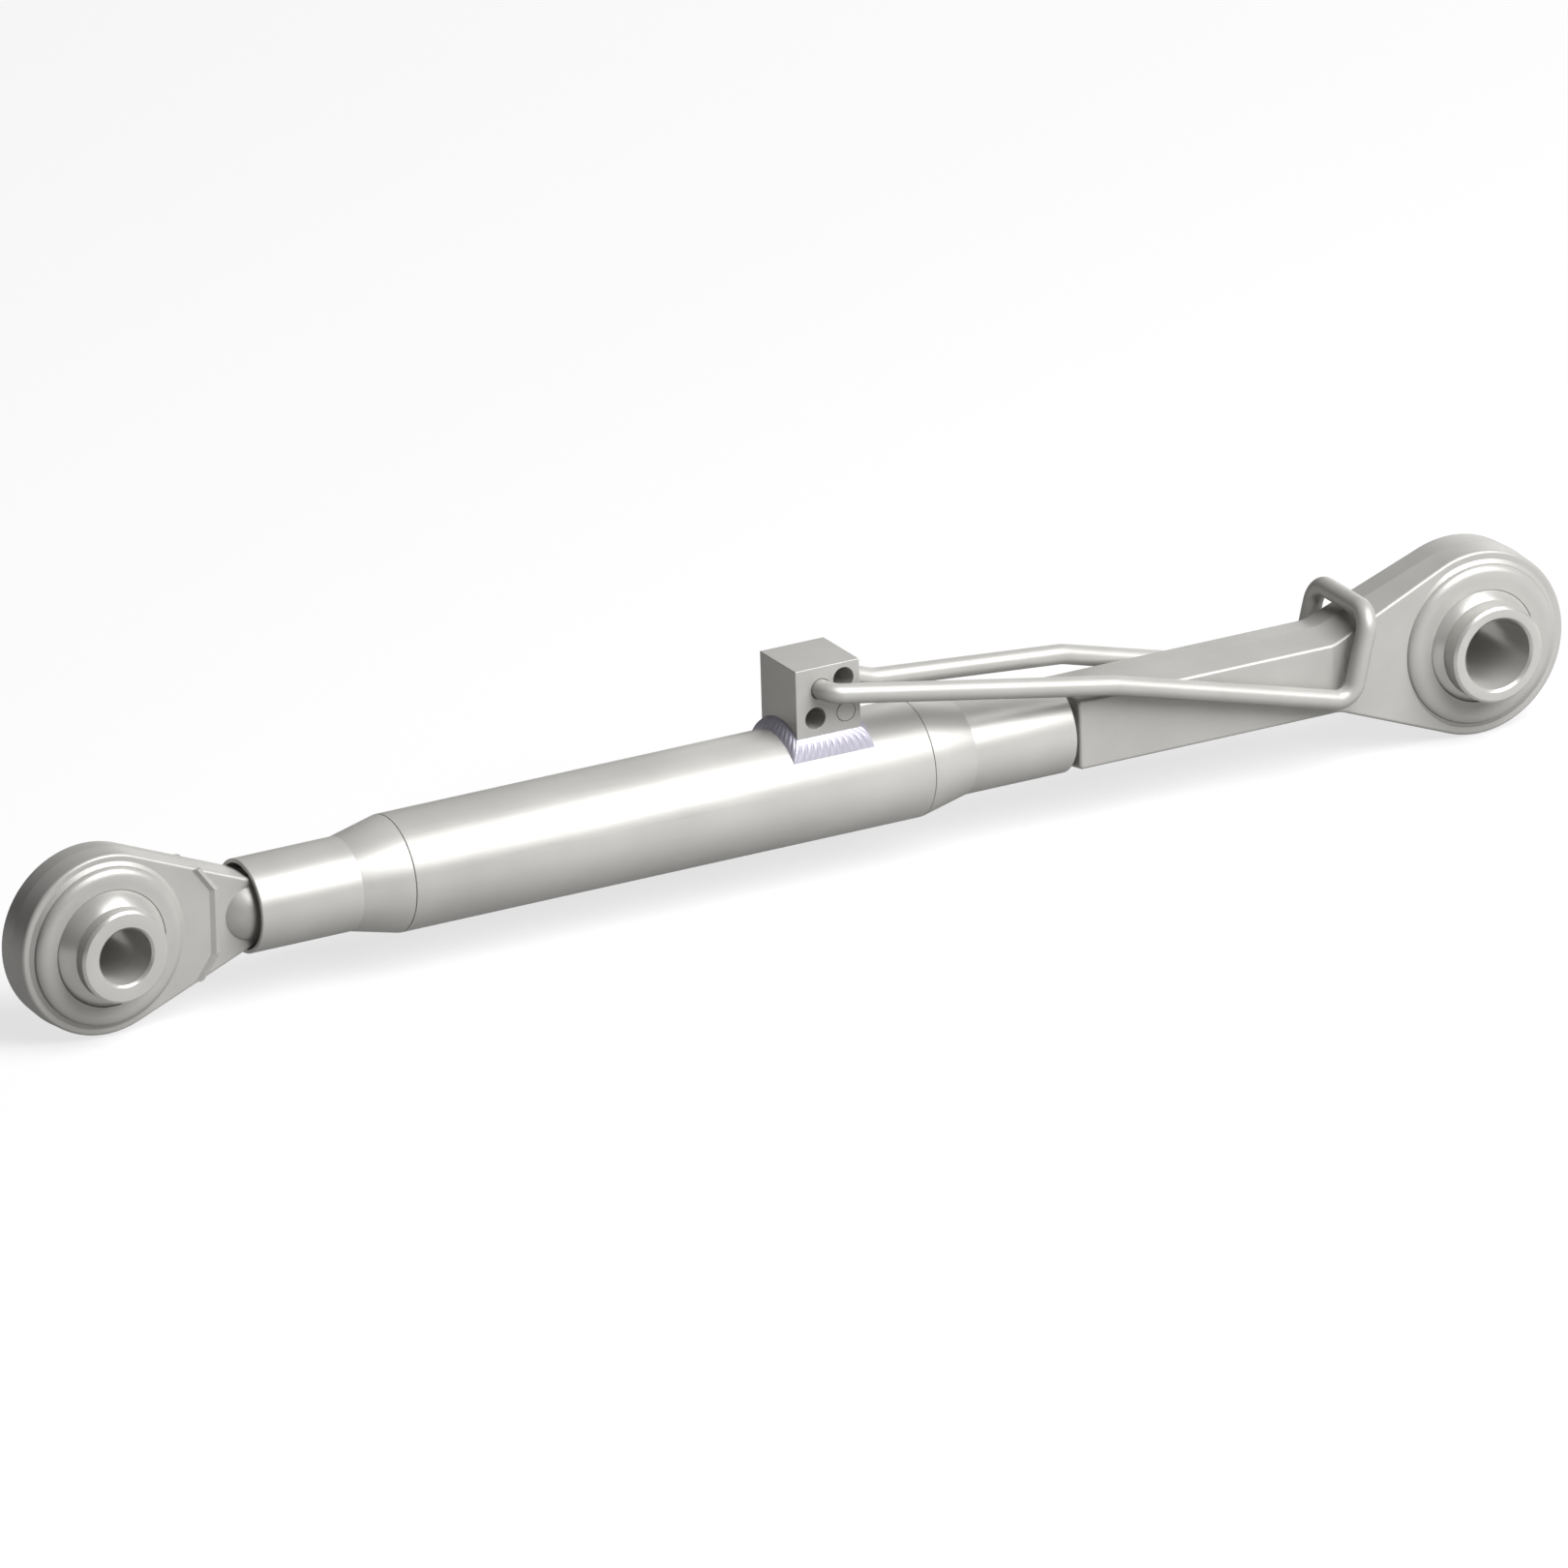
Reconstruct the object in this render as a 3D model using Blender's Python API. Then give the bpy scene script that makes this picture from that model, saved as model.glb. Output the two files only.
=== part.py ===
"""Mechanical top link for a tractor's three-point linkage.

The link lies along +X with +Z up. The origin is the centre of the left ball, on the axis of its pin.
The threaded barrel draws both eyes in or out together, and a wire bail locks it to the right eye's shank.
All sizes are in metres.
"""

import math

import bmesh
import bpy
from mathutils import Matrix, Vector

MM = 0.001

# Clearances
SEAT_GAP = 0.3 * MM
HOLE_GAP = 0.3 * MM
SLIDE_GAP = 0.5 * MM
BAIL_GAP = 1.0 * MM

# Left ball and eye
LEFT_BORE = 25.7 * MM
LEFT_BORE_CHAMFER = 1.1 * MM
LEFT_BALL_WIDTH = 57.0 * MM
LEFT_BALL_RADIUS = 30.5 * MM
LEFT_BOSS_RADIUS = 21.3 * MM
LEFT_EYE_RADIUS = 41.6 * MM
LEFT_EYE_THICKNESS = 20.4 * MM
LEFT_LIP_WIDTH = 30.0 * MM
LEFT_PLATE_HEIGHT = 32.0 * MM

# Right ball and eye
RIGHT_BORE = 32.2 * MM
RIGHT_BORE_CHAMFER = 1.2 * MM
RIGHT_BALL_WIDTH = 63.0 * MM
RIGHT_BALL_RADIUS = 31.0 * MM
RIGHT_BOSS_RADIUS = 22.3 * MM
RIGHT_EYE_RADIUS = 42.6 * MM
RIGHT_EYE_THICKNESS = 26.6 * MM
RIGHT_LIP_WIDTH = 35.0 * MM

# What both ball joints share
BOSS_CHAMFER = 1.2 * MM
SOCKET_WALL = 5.7 * MM
SOCKET_LIP_ROLL = 5.6 * MM
SOCKET_LIP_RISE = 3.2 * MM
LAND_RISE = 1.2 * MM
LAND_RAMP = 1.7 * MM
LAND_WALL = 0.4 * MM
FORGING_FILLET = 1.6 * MM
EYE_DRAFT = 0.6 * MM

# Raised chevron and spindle nose on the left eye's plate
CHEVRON_FROM_BALL = 53.5 * MM
CHEVRON_SWEEP = 8.2 * MM
CHEVRON_STRAIGHT = 29.6 * MM
CHEVRON_WIDTH = 4.4 * MM
CHEVRON_RISE = 1.3 * MM
CHEVRON_SLOPE = 1.37
NOSE_LENGTH = 12.4 * MM
NOSE_IN_MOUTH = 6.3 * MM
NOSE_SINK = 1.0 * MM

# Right shank
SHANK_WIDTH = 36.0 * MM
SHANK_HEIGHT = 32.4 * MM
SHANK_RIDGE = 2.8 * MM
SHANK_END_GAP = 2.7 * MM
NECK_FROM_BALL = 73.0 * MM
NECK_BEND_RADIUS = 20.0 * MM
CHEEK_START = 76.0 * MM
CHEEK_END = 55.0 * MM

# Barrel
LEFT_MOUTH_FROM_BALL = 71.4 * MM
RIGHT_MOUTH_FROM_BALL = 206.6 * MM
BARREL_LENGTH = 407.0 * MM
TUBE_DIAMETER = 53.0 * MM
TUBE_WALL = 5.0 * MM
END_DIAMETER = 42.4 * MM
END_LENGTH = 50.4 * MM
CONE_LENGTH = 23.3 * MM
SPIGOT_LENGTH = 12.0 * MM
MOUTH_DEPTH = 12.0 * MM
MOUTH_WALL = 1.9 * MM
MOUTH_CHAMFER = 0.6 * MM

# Spindles and the collars that stop them from being screwed right out
SPINDLE_DIAMETER = 32.0 * MM
SPINDLE_CHAMFER = 1.5 * MM
MIDDLE_ROOM = 14.3 * MM
COLLAR_LENGTH = 8.0 * MM
COLLAR_SEAT_SHARE = 4 / 7
COLLAR_CHAMFER = 0.8 * MM
COLLAR_PIN_DIAMETER = 4.0 * MM

# Bracket block, its weld and the bail
BLOCK_SIZE = 32.0 * MM
BLOCK_FROM_MOUTH = 137.0 * MM
BLOCK_RISE = 31.6 * MM
WELD_LEG_OUT = 4.2 * MM
WELD_LEG_UP = 5.2 * MM
WELD_BULGE = 0.5 * MM
SPARE_HOLE = 10.0 * MM
BAIL_WIRE = 9.0 * MM
STOP_SPIGOT = 6.5 * MM
STOP_REACH = 11.0 * MM

# Holes in the block, measured from its left face, or from its right face where negative, and its top
HINGE_HOLE = (12.6 * MM, 10.3 * MM)
STOP_HOLE = (-7.2 * MM, 23.3 * MM)
UPPER_SPARE_HOLE = (-8.1 * MM, 7.6 * MM)
LOWER_SPARE_HOLE = (9.5 * MM, 23.5 * MM)

# Shape of the bail: its heel past the start of the neck and its kink between hinge and heel
HEEL_PAST_NECK = 2.5 * MM
HEEL_DROP = 9.5 * MM
KINK_SHARE = 0.545
KINK_HEIGHT = 22.4 * MM
BAIL_REAR_SLOPE = 0.087
BAIL_END_RADIUS = 6.6 * MM
BAIL_ELBOW_RADIUS = 9.0 * MM
BAIL_KINK_RADIUS = 25.0 * MM
BAIL_STUB = 14.0 * MM

# How finely round forms are faceted
ROUND_STEPS = 40
SMALL_STEPS = 16
EYE_STEPS = 24
BALL_STEPS = 8
SEAT_STEPS = 6
LIP_STEPS = 3
NOSE_STEPS = 7
BEND_STEPS = 5
NECK_STEPS = 4
END_STEPS = 2
BLOCK_STEPS = 24
WELD_STEPS = 12

# Lengths and places that follow from the sizes above
BALL_SPAN = LEFT_MOUTH_FROM_BALL + BARREL_LENGTH + RIGHT_MOUTH_FROM_BALL
RIGHT_MOUTH = LEFT_MOUTH_FROM_BALL + BARREL_LENGTH
LEFT_SPINDLE_ROOT = LEFT_MOUTH_FROM_BALL + NOSE_IN_MOUTH + SEAT_GAP
BUSH_LENGTH = END_LENGTH + CONE_LENGTH + SPIGOT_LENGTH
SPINDLE_TRAVEL = BARREL_LENGTH / 2 - BUSH_LENGTH - SLIDE_GAP - COLLAR_LENGTH - MIDDLE_ROOM
BLOCK_LEFT = RIGHT_MOUTH - BLOCK_FROM_MOUTH
BLOCK_TOP = TUBE_DIAMETER / 2 + BLOCK_RISE


def material(name, colour, roughness, metallic):
    """Plain Principled finish."""
    finish = bpy.data.materials.new(name)
    finish.use_nodes = True
    shader = finish.node_tree.nodes["Principled BSDF"]
    shader.inputs["Base Color"].default_value = (*colour, 1.0)
    shader.inputs["Roughness"].default_value = roughness
    shader.inputs["Metallic"].default_value = metallic
    return finish


def add_object(name, mesh, finish, origin=(0.0, 0.0, 0.0)):
    """Link a mesh whose points are in world space, with the object's origin at the given point."""
    mesh.transform(Matrix.Translation(-Vector(origin)))
    solid = bpy.data.objects.new(name, mesh)
    solid.location = origin
    bpy.context.collection.objects.link(solid)
    if finish:
        mesh.materials.append(finish)
    return solid


def finish_mesh(name, bm):
    """Merge the seam, point every face outwards and shade the round faces smooth."""
    bmesh.ops.remove_doubles(bm, verts=bm.verts, dist=1e-6)
    bmesh.ops.recalc_face_normals(bm, faces=bm.faces)
    mesh = bpy.data.meshes.new(name)
    bm.to_mesh(mesh)
    bm.free()
    mesh.shade_smooth()
    mesh.set_sharp_from_angle(angle=math.radians(30))
    return mesh


def turned(name, profile, finish, axis, centre=(0.0, 0.0, 0.0), closed=True, steps=ROUND_STEPS):
    """Revolve a profile of (along, radius) points about the X or Y axis through centre."""
    bm = bmesh.new()
    centre = Vector(centre)
    verts = []
    for along, radius in profile:
        if axis == "X":
            verts.append(bm.verts.new(centre + Vector((along, 0.0, radius))))
        else:
            verts.append(bm.verts.new(centre + Vector((0.0, along, radius))))
    pairs = list(zip(verts, verts[1:]))
    if closed:
        pairs.append((verts[-1], verts[0]))
    edges = [bm.edges.new(pair) for pair in pairs]
    direction = Vector((1, 0, 0)) if axis == "X" else Vector((0, 1, 0))
    bmesh.ops.spin(bm, geom=verts + edges, cent=centre, axis=direction, angle=math.tau,
                   steps=steps, use_merge=True)
    return add_object(name, finish_mesh(name, bm), finish, centre)


def as_tool(tool):
    """A cutter or a joined form stays out of the build."""
    tool.hide_render = True
    tool.display_type = "WIRE"
    return tool


def combine(solid, tool, operation):
    """Cut or join a tool on a solid with the exact solver."""
    step = solid.modifiers.new(tool.name, "BOOLEAN")
    step.operation = operation
    step.solver = "EXACT"
    step.object = as_tool(tool)


def cylinder_tool(name, centre, axis, radius, length, steps=SMALL_STEPS):
    """Cutter for a hole along X or Y."""
    half = length / 2
    profile = [(-half, 0.0), (-half, radius), (half, radius), (half, 0.0)]
    return turned(name, profile, None, axis, centre, closed=False, steps=steps)


def arc(centre, radius, start, stop, steps):
    """Points of a circular arc, angles in radians."""
    points = []
    for i in range(steps + 1):
        angle = start + (stop - start) * i / steps
        points.append((centre[0] + radius * math.cos(angle), centre[1] + radius * math.sin(angle)))
    return points


def rounded_path(corners, radii, steps=BEND_STEPS):
    """Replace each inner corner of a path by an arc of the given radius."""
    points = [Vector(corners[0])]
    for i in range(1, len(corners) - 1):
        here = Vector(corners[i])
        back = (Vector(corners[i - 1]) - here).normalized()
        ahead = (Vector(corners[i + 1]) - here).normalized()
        half = back.angle(ahead) / 2
        reach = radii[i - 1] / math.tan(half)
        middle = here + (back + ahead).normalized() * radii[i - 1] / math.sin(half)
        first = (here + back * reach - middle).normalized()
        last = (here + ahead * reach - middle).normalized()
        for k in range(steps + 1):
            points.append(middle + first.slerp(last, k / steps) * radii[i - 1])
    points.append(Vector(corners[-1]))
    return points


def ball(name, finish, centre_x, bore, chamfer, width, ball_radius, boss_radius):
    """Pierced ball with a boss on each side, turned about the pin's axis."""
    half = width / 2
    neck = math.sqrt(ball_radius ** 2 - boss_radius ** 2)
    neck_angle = math.atan2(boss_radius, neck)
    one_side = [
        (half - chamfer, bore / 2),
        (half, bore / 2 + chamfer),
        (half, boss_radius - BOSS_CHAMFER),
        (half - BOSS_CHAMFER, boss_radius),
    ]
    sphere = arc((0.0, 0.0), ball_radius, neck_angle, math.pi - neck_angle, BALL_STEPS)
    profile = one_side + sphere + [(-along, radius) for along, radius in reversed(one_side)]
    return turned(name, profile, finish, "Y", (centre_x, 0.0, 0.0))


def socket_ring(name, finish, centre_x, ball_radius, lip_width):
    """Race that wraps the ball, with both lips rolled over it."""
    inner = ball_radius + SEAT_GAP
    outer = ball_radius + SOCKET_WALL
    lip = lip_width / 2
    lip_radius = math.sqrt(inner ** 2 - lip ** 2)
    lip_angle = math.atan2(lip_radius, lip)
    shoulder = lip - SOCKET_LIP_RISE
    roll = []
    for i in range(LIP_STEPS + 1):
        turn = math.pi / 2 * i / LIP_STEPS
        roll.append((shoulder + SOCKET_LIP_RISE * math.sin(turn),
                     outer - SOCKET_LIP_ROLL * (1 - math.cos(turn))))
    seat = arc((0.0, 0.0), inner, math.pi - lip_angle, lip_angle, SEAT_STEPS)
    profile = seat + list(reversed(roll)) + [(-along, radius) for along, radius in roll]
    return turned(name, profile, finish, "Y", (centre_x, 0.0, 0.0))


def eye_outline(radius, neck, arc_steps):
    """Upper half of an eye's outline in its own plane, from the end of the neck to the far side.

    The neck's last point is joined to the round by its tangent. Where the neck has more points than
    that one, the bend there is rounded.
    """
    u, z = neck[-1]
    start = math.atan2(z, u) + math.acos(radius / math.hypot(u, z))
    round_side = arc((0.0, 0.0), radius, start, math.pi, arc_steps)
    if len(neck) == 1:
        return neck + round_side
    bend = [(*point, 0.0) for point in neck[-2:] + round_side[:1]]
    bent = rounded_path(bend, [NECK_BEND_RADIUS], steps=NECK_STEPS)
    return neck[:-2] + [(point[0], point[1]) for point in bent] + round_side[1:]


def forged_blank(name, finish, centre_x, side, radius, neck_at, draft, half_thickness):
    """Forging with a parting line: the outline swells towards its middle plane.

    neck_at gives the neck's points for an outward offset at its faces and one for its parting line,
    and half_thickness gives the half width at a distance from the ball.
    """
    turn = FORGING_FILLET * (1 - math.sqrt(0.5))
    layers = [
        (-FORGING_FILLET, 0.0, 0.0),
        (-turn, turn, 0.0),
        (0.0, FORGING_FILLET, 0.0),
        (0.0, None, 1.0),
    ]
    layers = [(*layer, -1) for layer in layers] + [(*layer, 1) for layer in reversed(layers[:-1])]
    bm = bmesh.new()
    loops = []
    for offset, inset, parting, face in layers:
        upper = eye_outline(radius + offset + parting * draft, neck_at(offset, parting), EYE_STEPS)
        loop = []
        for sign, row in ((1, upper), (-1, list(reversed(upper[:-1])))):
            for u, z in row:
                depth = 0.0 if inset is None else half_thickness(u) - inset
                loop.append(bm.verts.new((centre_x + side * u, face * depth, sign * z)))
        loops.append(loop)
    count = len(loops[0])
    for near, far in zip(loops, loops[1:]):
        for i in range(count):
            j = (i + 1) % count
            bm.faces.new((near[i], near[j], far[j], far[i]))
    for loop in (loops[0], loops[-1]):
        for i in range(count // 2 - 1):
            bm.faces.new((loop[i], loop[i + 1], loop[count - 2 - i], loop[count - 1 - i]))
        middle = count // 2
        bm.faces.new((loop[middle - 1], loop[middle], loop[middle + 1]))
    return add_object(name, finish_mesh(name, bm), finish, (centre_x, 0.0, 0.0))


def eye_seat(forging, centre_x, ball_radius, thickness):
    """Raised land round the socket, and the bore that the socket ring is pressed into."""
    bore = ball_radius + SOCKET_WALL + SEAT_GAP
    half = thickness / 2
    top = half + LAND_RISE
    land_radius = bore + LAND_WALL
    profile = [
        (-top, bore - LAND_RAMP), (-top, land_radius), (-half, land_radius + LAND_RAMP),
        (half, land_radius + LAND_RAMP), (top, land_radius), (top, bore - LAND_RAMP),
    ]
    centre = (centre_x, 0.0, 0.0)
    land = turned(forging.name + "_land", profile, None, "Y", centre)
    combine(forging, land, "UNION")
    hole = cylinder_tool(forging.name + "_bore", centre, "Y", bore, 4 * top, ROUND_STEPS)
    combine(forging, hole, "DIFFERENCE")


def chevron(name, face_y, side):
    """Roof-shaped bead that runs across the plate in a chevron."""
    half = CHEVRON_STRAIGHT / 2
    run = CHEVRON_SWEEP * CHEVRON_SLOPE
    path = [
        (CHEVRON_FROM_BALL - CHEVRON_SWEEP, half + run),
        (CHEVRON_FROM_BALL, half),
        (CHEVRON_FROM_BALL, -half),
        (CHEVRON_FROM_BALL - CHEVRON_SWEEP, -half - run),
    ]
    bm = bmesh.new()
    loops = []
    for x, z in path:
        section = [(-CHEVRON_WIDTH / 2, -CHEVRON_RISE), (-CHEVRON_WIDTH / 2, 0.0), (0.0, CHEVRON_RISE),
                   (CHEVRON_WIDTH / 2, 0.0), (CHEVRON_WIDTH / 2, -CHEVRON_RISE)]
        loops.append([bm.verts.new((x + across, face_y + side * out, z)) for across, out in section])
    for near, far in zip(loops, loops[1:]):
        for i in range(5):
            j = (i + 1) % 5
            bm.faces.new((near[i], near[j], far[j], far[i]))
    bm.faces.new(loops[0])
    bm.faces.new(loops[-1])
    return add_object(name, finish_mesh(name, bm), None)


def left_eye(finish):
    """Flat forged eye with a chevron bead and the domed nose that the spindle is welded to."""
    half = LEFT_EYE_THICKNESS / 2
    end = LEFT_MOUTH_FROM_BALL + NOSE_IN_MOUTH
    mouth_half = LEFT_PLATE_HEIGHT / 2
    reach = math.hypot(LEFT_MOUTH_FROM_BALL, mouth_half)
    tangent = math.atan2(mouth_half, LEFT_MOUTH_FROM_BALL) + math.acos(LEFT_EYE_RADIUS / reach)
    fall = 1 / math.tan(tangent)
    end_half = mouth_half - (end - LEFT_MOUTH_FROM_BALL) * fall

    def neck(offset, parting):
        return [(end, end_half + offset + parting * EYE_DRAFT)]

    forging = forged_blank("left_eye", finish, 0.0, 1, LEFT_EYE_RADIUS, neck, EYE_DRAFT, lambda u: half)
    for side, word in ((-1, "front"), (1, "rear")):
        bead = chevron("chevron_" + word, side * half, side)
        combine(forging, bead, "UNION")
    spindle = SPINDLE_DIAMETER / 2
    nose_start = LEFT_MOUTH_FROM_BALL - NOSE_LENGTH
    nose = [(nose_start - NOSE_SINK, 0.0), (nose_start - NOSE_SINK, half - NOSE_SINK)]
    for i in range(NOSE_STEPS + 1):
        share = 1 - math.cos(math.pi / 2 * i / NOSE_STEPS)
        round_off = math.sqrt(1 - (1 - share) ** 2)
        nose.append((nose_start + NOSE_LENGTH * share, math.hypot(half, round_off * math.sqrt(
            spindle ** 2 - half ** 2))))
    nose += [(end, spindle), (end, 0.0)]
    combine(forging, turned("left_eye_nose", nose, None, "X", closed=False), "UNION")
    eye_seat(forging, 0.0, LEFT_BALL_RADIUS, LEFT_EYE_THICKNESS)
    return forging


def right_eye(finish):
    """Forged eye with a long rectangular shank that the bail straddles."""
    end = RIGHT_MOUTH_FROM_BALL - SHANK_END_GAP

    def turned_in(u):
        share = min(max((u - end + FORGING_FILLET) / FORGING_FILLET, 0.0), 1.0)
        return FORGING_FILLET * (1 - math.sqrt(1 - share ** 2))

    def neck(offset, parting):
        level = SHANK_HEIGHT / 2 + offset + parting * SHANK_RIDGE
        tip = []
        for i in range(END_STEPS + 1):
            u = end - FORGING_FILLET * (1 - math.cos(math.pi / 2 * i / END_STEPS))
            tip.append((u, level - turned_in(u)))
        return tip + [(NECK_FROM_BALL, level)]

    def half_thickness(u):
        share = (u - CHEEK_END) / (CHEEK_START - CHEEK_END)
        share = min(max(share, 0.0), 1.0)
        widened = RIGHT_EYE_THICKNESS / 2 + share * (SHANK_WIDTH - RIGHT_EYE_THICKNESS) / 2
        return widened - turned_in(u)

    forging = forged_blank("right_eye", finish, BALL_SPAN, -1, RIGHT_EYE_RADIUS, neck, EYE_DRAFT,
                           half_thickness)
    eye_seat(forging, BALL_SPAN, RIGHT_BALL_RADIUS, RIGHT_EYE_THICKNESS)
    return forging


def end_bush(name, finish, mouth_x, side):
    """Turned end of the barrel: threaded bore, cone up to the tube and a spigot inside it."""
    bore = SPINDLE_DIAMETER / 2 + SEAT_GAP
    outer = END_DIAMETER / 2
    tube = TUBE_DIAMETER / 2
    mouth = outer - MOUTH_WALL
    cone_end = END_LENGTH + CONE_LENGTH
    spigot = tube - TUBE_WALL - SEAT_GAP
    profile = [
        (0.0, mouth + MOUTH_CHAMFER),
        (0.0, outer - MOUTH_CHAMFER),
        (MOUTH_CHAMFER, outer),
        (END_LENGTH, outer),
        (cone_end, tube),
        (cone_end, spigot),
        (cone_end + SPIGOT_LENGTH, spigot),
        (cone_end + SPIGOT_LENGTH, bore),
        (MOUTH_DEPTH + (mouth - bore), bore),
        (MOUTH_DEPTH, mouth),
        (MOUTH_CHAMFER, mouth),
    ]
    profile = [(side * along, radius) for along, radius in profile]
    return turned(name, profile, finish, "X", (mouth_x, 0.0, 0.0))


def barrel_tube(finish):
    """Plain tube between the two end bushes."""
    start = LEFT_MOUTH_FROM_BALL + END_LENGTH + CONE_LENGTH + SEAT_GAP
    length = BARREL_LENGTH - 2 * (END_LENGTH + CONE_LENGTH + SEAT_GAP)
    outer = TUBE_DIAMETER / 2
    inner = outer - TUBE_WALL
    profile = [(0.0, inner), (0.0, outer), (length, outer), (length, inner)]
    return turned("barrel_tube", profile, finish, "X", (start, 0.0, 0.0))


def spindle_set(word, finish, dark, root_x, side, mouth_x):
    """Spindle with a collar pinned on its inner end.

    The collar meets the end bush's inner face once the spindle has moved out by its travel.
    """
    radius = SPINDLE_DIAMETER / 2
    outer = TUBE_DIAMETER / 2 - TUBE_WALL - SLIDE_GAP
    seat = outer * COLLAR_SEAT_SHARE
    collar_x = mouth_x + side * (BUSH_LENGTH + SPINDLE_TRAVEL + SLIDE_GAP)
    shoulder = abs(collar_x - root_x) - SEAT_GAP
    tip = shoulder + SEAT_GAP + COLLAR_LENGTH
    profile = [
        (0.0, 0.0), (0.0, radius), (shoulder - SPINDLE_CHAMFER, radius),
        (shoulder, radius - SPINDLE_CHAMFER), (shoulder, seat),
        (tip - COLLAR_CHAMFER, seat), (tip, seat - COLLAR_CHAMFER), (tip, 0.0),
    ]
    profile = [(side * along, r) for along, r in profile]
    spindle = turned(word + "_spindle", profile, finish, "X", (root_x, 0.0, 0.0), closed=False)

    inner = seat + SEAT_GAP
    ring = [
        (0.0, inner), (0.0, outer - COLLAR_CHAMFER), (COLLAR_CHAMFER, outer),
        (COLLAR_LENGTH - COLLAR_CHAMFER, outer), (COLLAR_LENGTH, outer - COLLAR_CHAMFER),
        (COLLAR_LENGTH, inner),
    ]
    ring = [(side * along, r) for along, r in ring]
    collar = turned(word + "_stop_collar", ring, dark, "X", (collar_x, 0.0, 0.0))

    pin_x = collar_x + side * COLLAR_LENGTH / 2
    pin_radius = COLLAR_PIN_DIAMETER / 2
    drilled = pin_radius + HOLE_GAP
    for solid in (spindle, collar):
        hole = cylinder_tool(solid.name + "_pin_hole", (pin_x, 0.0, 0.0), "Y", drilled, 3 * outer)
        combine(solid, hole, "DIFFERENCE")
    half = outer - COLLAR_CHAMFER
    pin = [
        (-half, 0.0), (-half, pin_radius - SEAT_GAP), (-half + SEAT_GAP, pin_radius),
        (half - SEAT_GAP, pin_radius), (half, pin_radius - SEAT_GAP), (half, 0.0),
    ]
    turned(word + "_stop_pin", pin, dark, "Y", (pin_x, 0.0, 0.0), closed=False, steps=SMALL_STEPS)


def block_point(hole):
    """Place of a hole of the block in X and Z."""
    face = BLOCK_LEFT if hole[0] > 0 else BLOCK_LEFT + BLOCK_SIZE
    return face + hole[0], BLOCK_TOP - hole[1]


def bracket_block(finish):
    """Square block saddled on the barrel, with four cross holes."""
    bm = bmesh.new()
    bmesh.ops.create_cube(bm, size=1.0)
    half = BLOCK_SIZE / 2
    for vert in bm.verts:
        vert.co.x = BLOCK_LEFT + (vert.co.x + 0.5) * BLOCK_SIZE
        vert.co.y = vert.co.y * BLOCK_SIZE
        vert.co.z = BLOCK_TOP if vert.co.z > 0 else 0.0
    block = add_object("bracket_block", finish_mesh("bracket_block", bm), finish,
                       (BLOCK_LEFT + half, 0.0, BLOCK_TOP))
    saddle = cylinder_tool("block_saddle", (BLOCK_LEFT + half, 0.0, 0.0), "X",
                           TUBE_DIAMETER / 2 + SEAT_GAP, 2 * BLOCK_SIZE, ROUND_STEPS)
    combine(block, saddle, "DIFFERENCE")
    pivot = BAIL_WIRE / 2 + HOLE_GAP
    holes = [
        ("hinge_hole", HINGE_HOLE, pivot), ("stop_hole", STOP_HOLE, pivot),
        ("upper_spare_hole", UPPER_SPARE_HOLE, SPARE_HOLE / 2),
        ("lower_spare_hole", LOWER_SPARE_HOLE, SPARE_HOLE / 2),
    ]
    for name, place, radius in holes:
        x, z = block_point(place)
        combine(block, cylinder_tool(name, (x, 0.0, z), "Y", radius, 2 * BLOCK_SIZE, BLOCK_STEPS), "DIFFERENCE")
    return block


def bracket_weld(finish):
    """Fillet weld all round the foot of the block, following the barrel's curve."""
    radius = TUBE_DIAMETER / 2 + SEAT_GAP
    inner = BLOCK_SIZE / 2 + SEAT_GAP
    outer = BLOCK_SIZE / 2 + WELD_LEG_OUT
    centre_x = BLOCK_LEFT + BLOCK_SIZE / 2
    middle = (inner + outer) / 2
    form = [(inner, 0.0, 0.0), (middle, 0.0, 0.0), (outer, 0.0, 0.0),
            (middle + WELD_BULGE, 0.5, 1.0), (inner, 1.0, 0.0)]
    corners = [(-1, -1), (1, -1), (1, 1), (-1, 1)]
    bm = bmesh.new()
    sections = []
    for (sx, sy), (tx, ty) in zip(corners, corners[1:] + corners[:1]):
        for i in range(WELD_STEPS):
            share = i / WELD_STEPS
            ux, uy = sx + (tx - sx) * share, sy + (ty - sy) * share
            section = []
            for reach, up, bulge in form:
                x, y = ux * reach, uy * reach
                z = math.sqrt(radius ** 2 - y ** 2) + up * WELD_LEG_UP + bulge * WELD_BULGE
                section.append(bm.verts.new((centre_x + x, y, z)))
            sections.append(section)
    for near, far in zip(sections, sections[1:] + sections[:1]):
        for i in range(len(form)):
            j = (i + 1) % len(form)
            bm.faces.new((near[i], near[j], far[j], far[i]))
    return add_object("bracket_weld", finish_mesh("bracket_weld", bm), finish,
                      (centre_x, 0.0, TUBE_DIAMETER / 2))


def bail_stop_pin(finish):
    """Pin through the block whose thin rear end carries the bail's rear leg."""
    x, z = block_point(STOP_HOLE)
    half = BLOCK_SIZE / 2
    radius = BAIL_WIRE / 2
    profile = [
        (-half, 0.0), (-half, radius), (half, radius), (half, STOP_SPIGOT / 2),
        (half + STOP_REACH, STOP_SPIGOT / 2), (half + STOP_REACH, 0.0),
    ]
    return turned("bail_stop_pin", profile, finish, "Y", (x, 0.0, z), closed=False, steps=BLOCK_STEPS)


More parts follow.
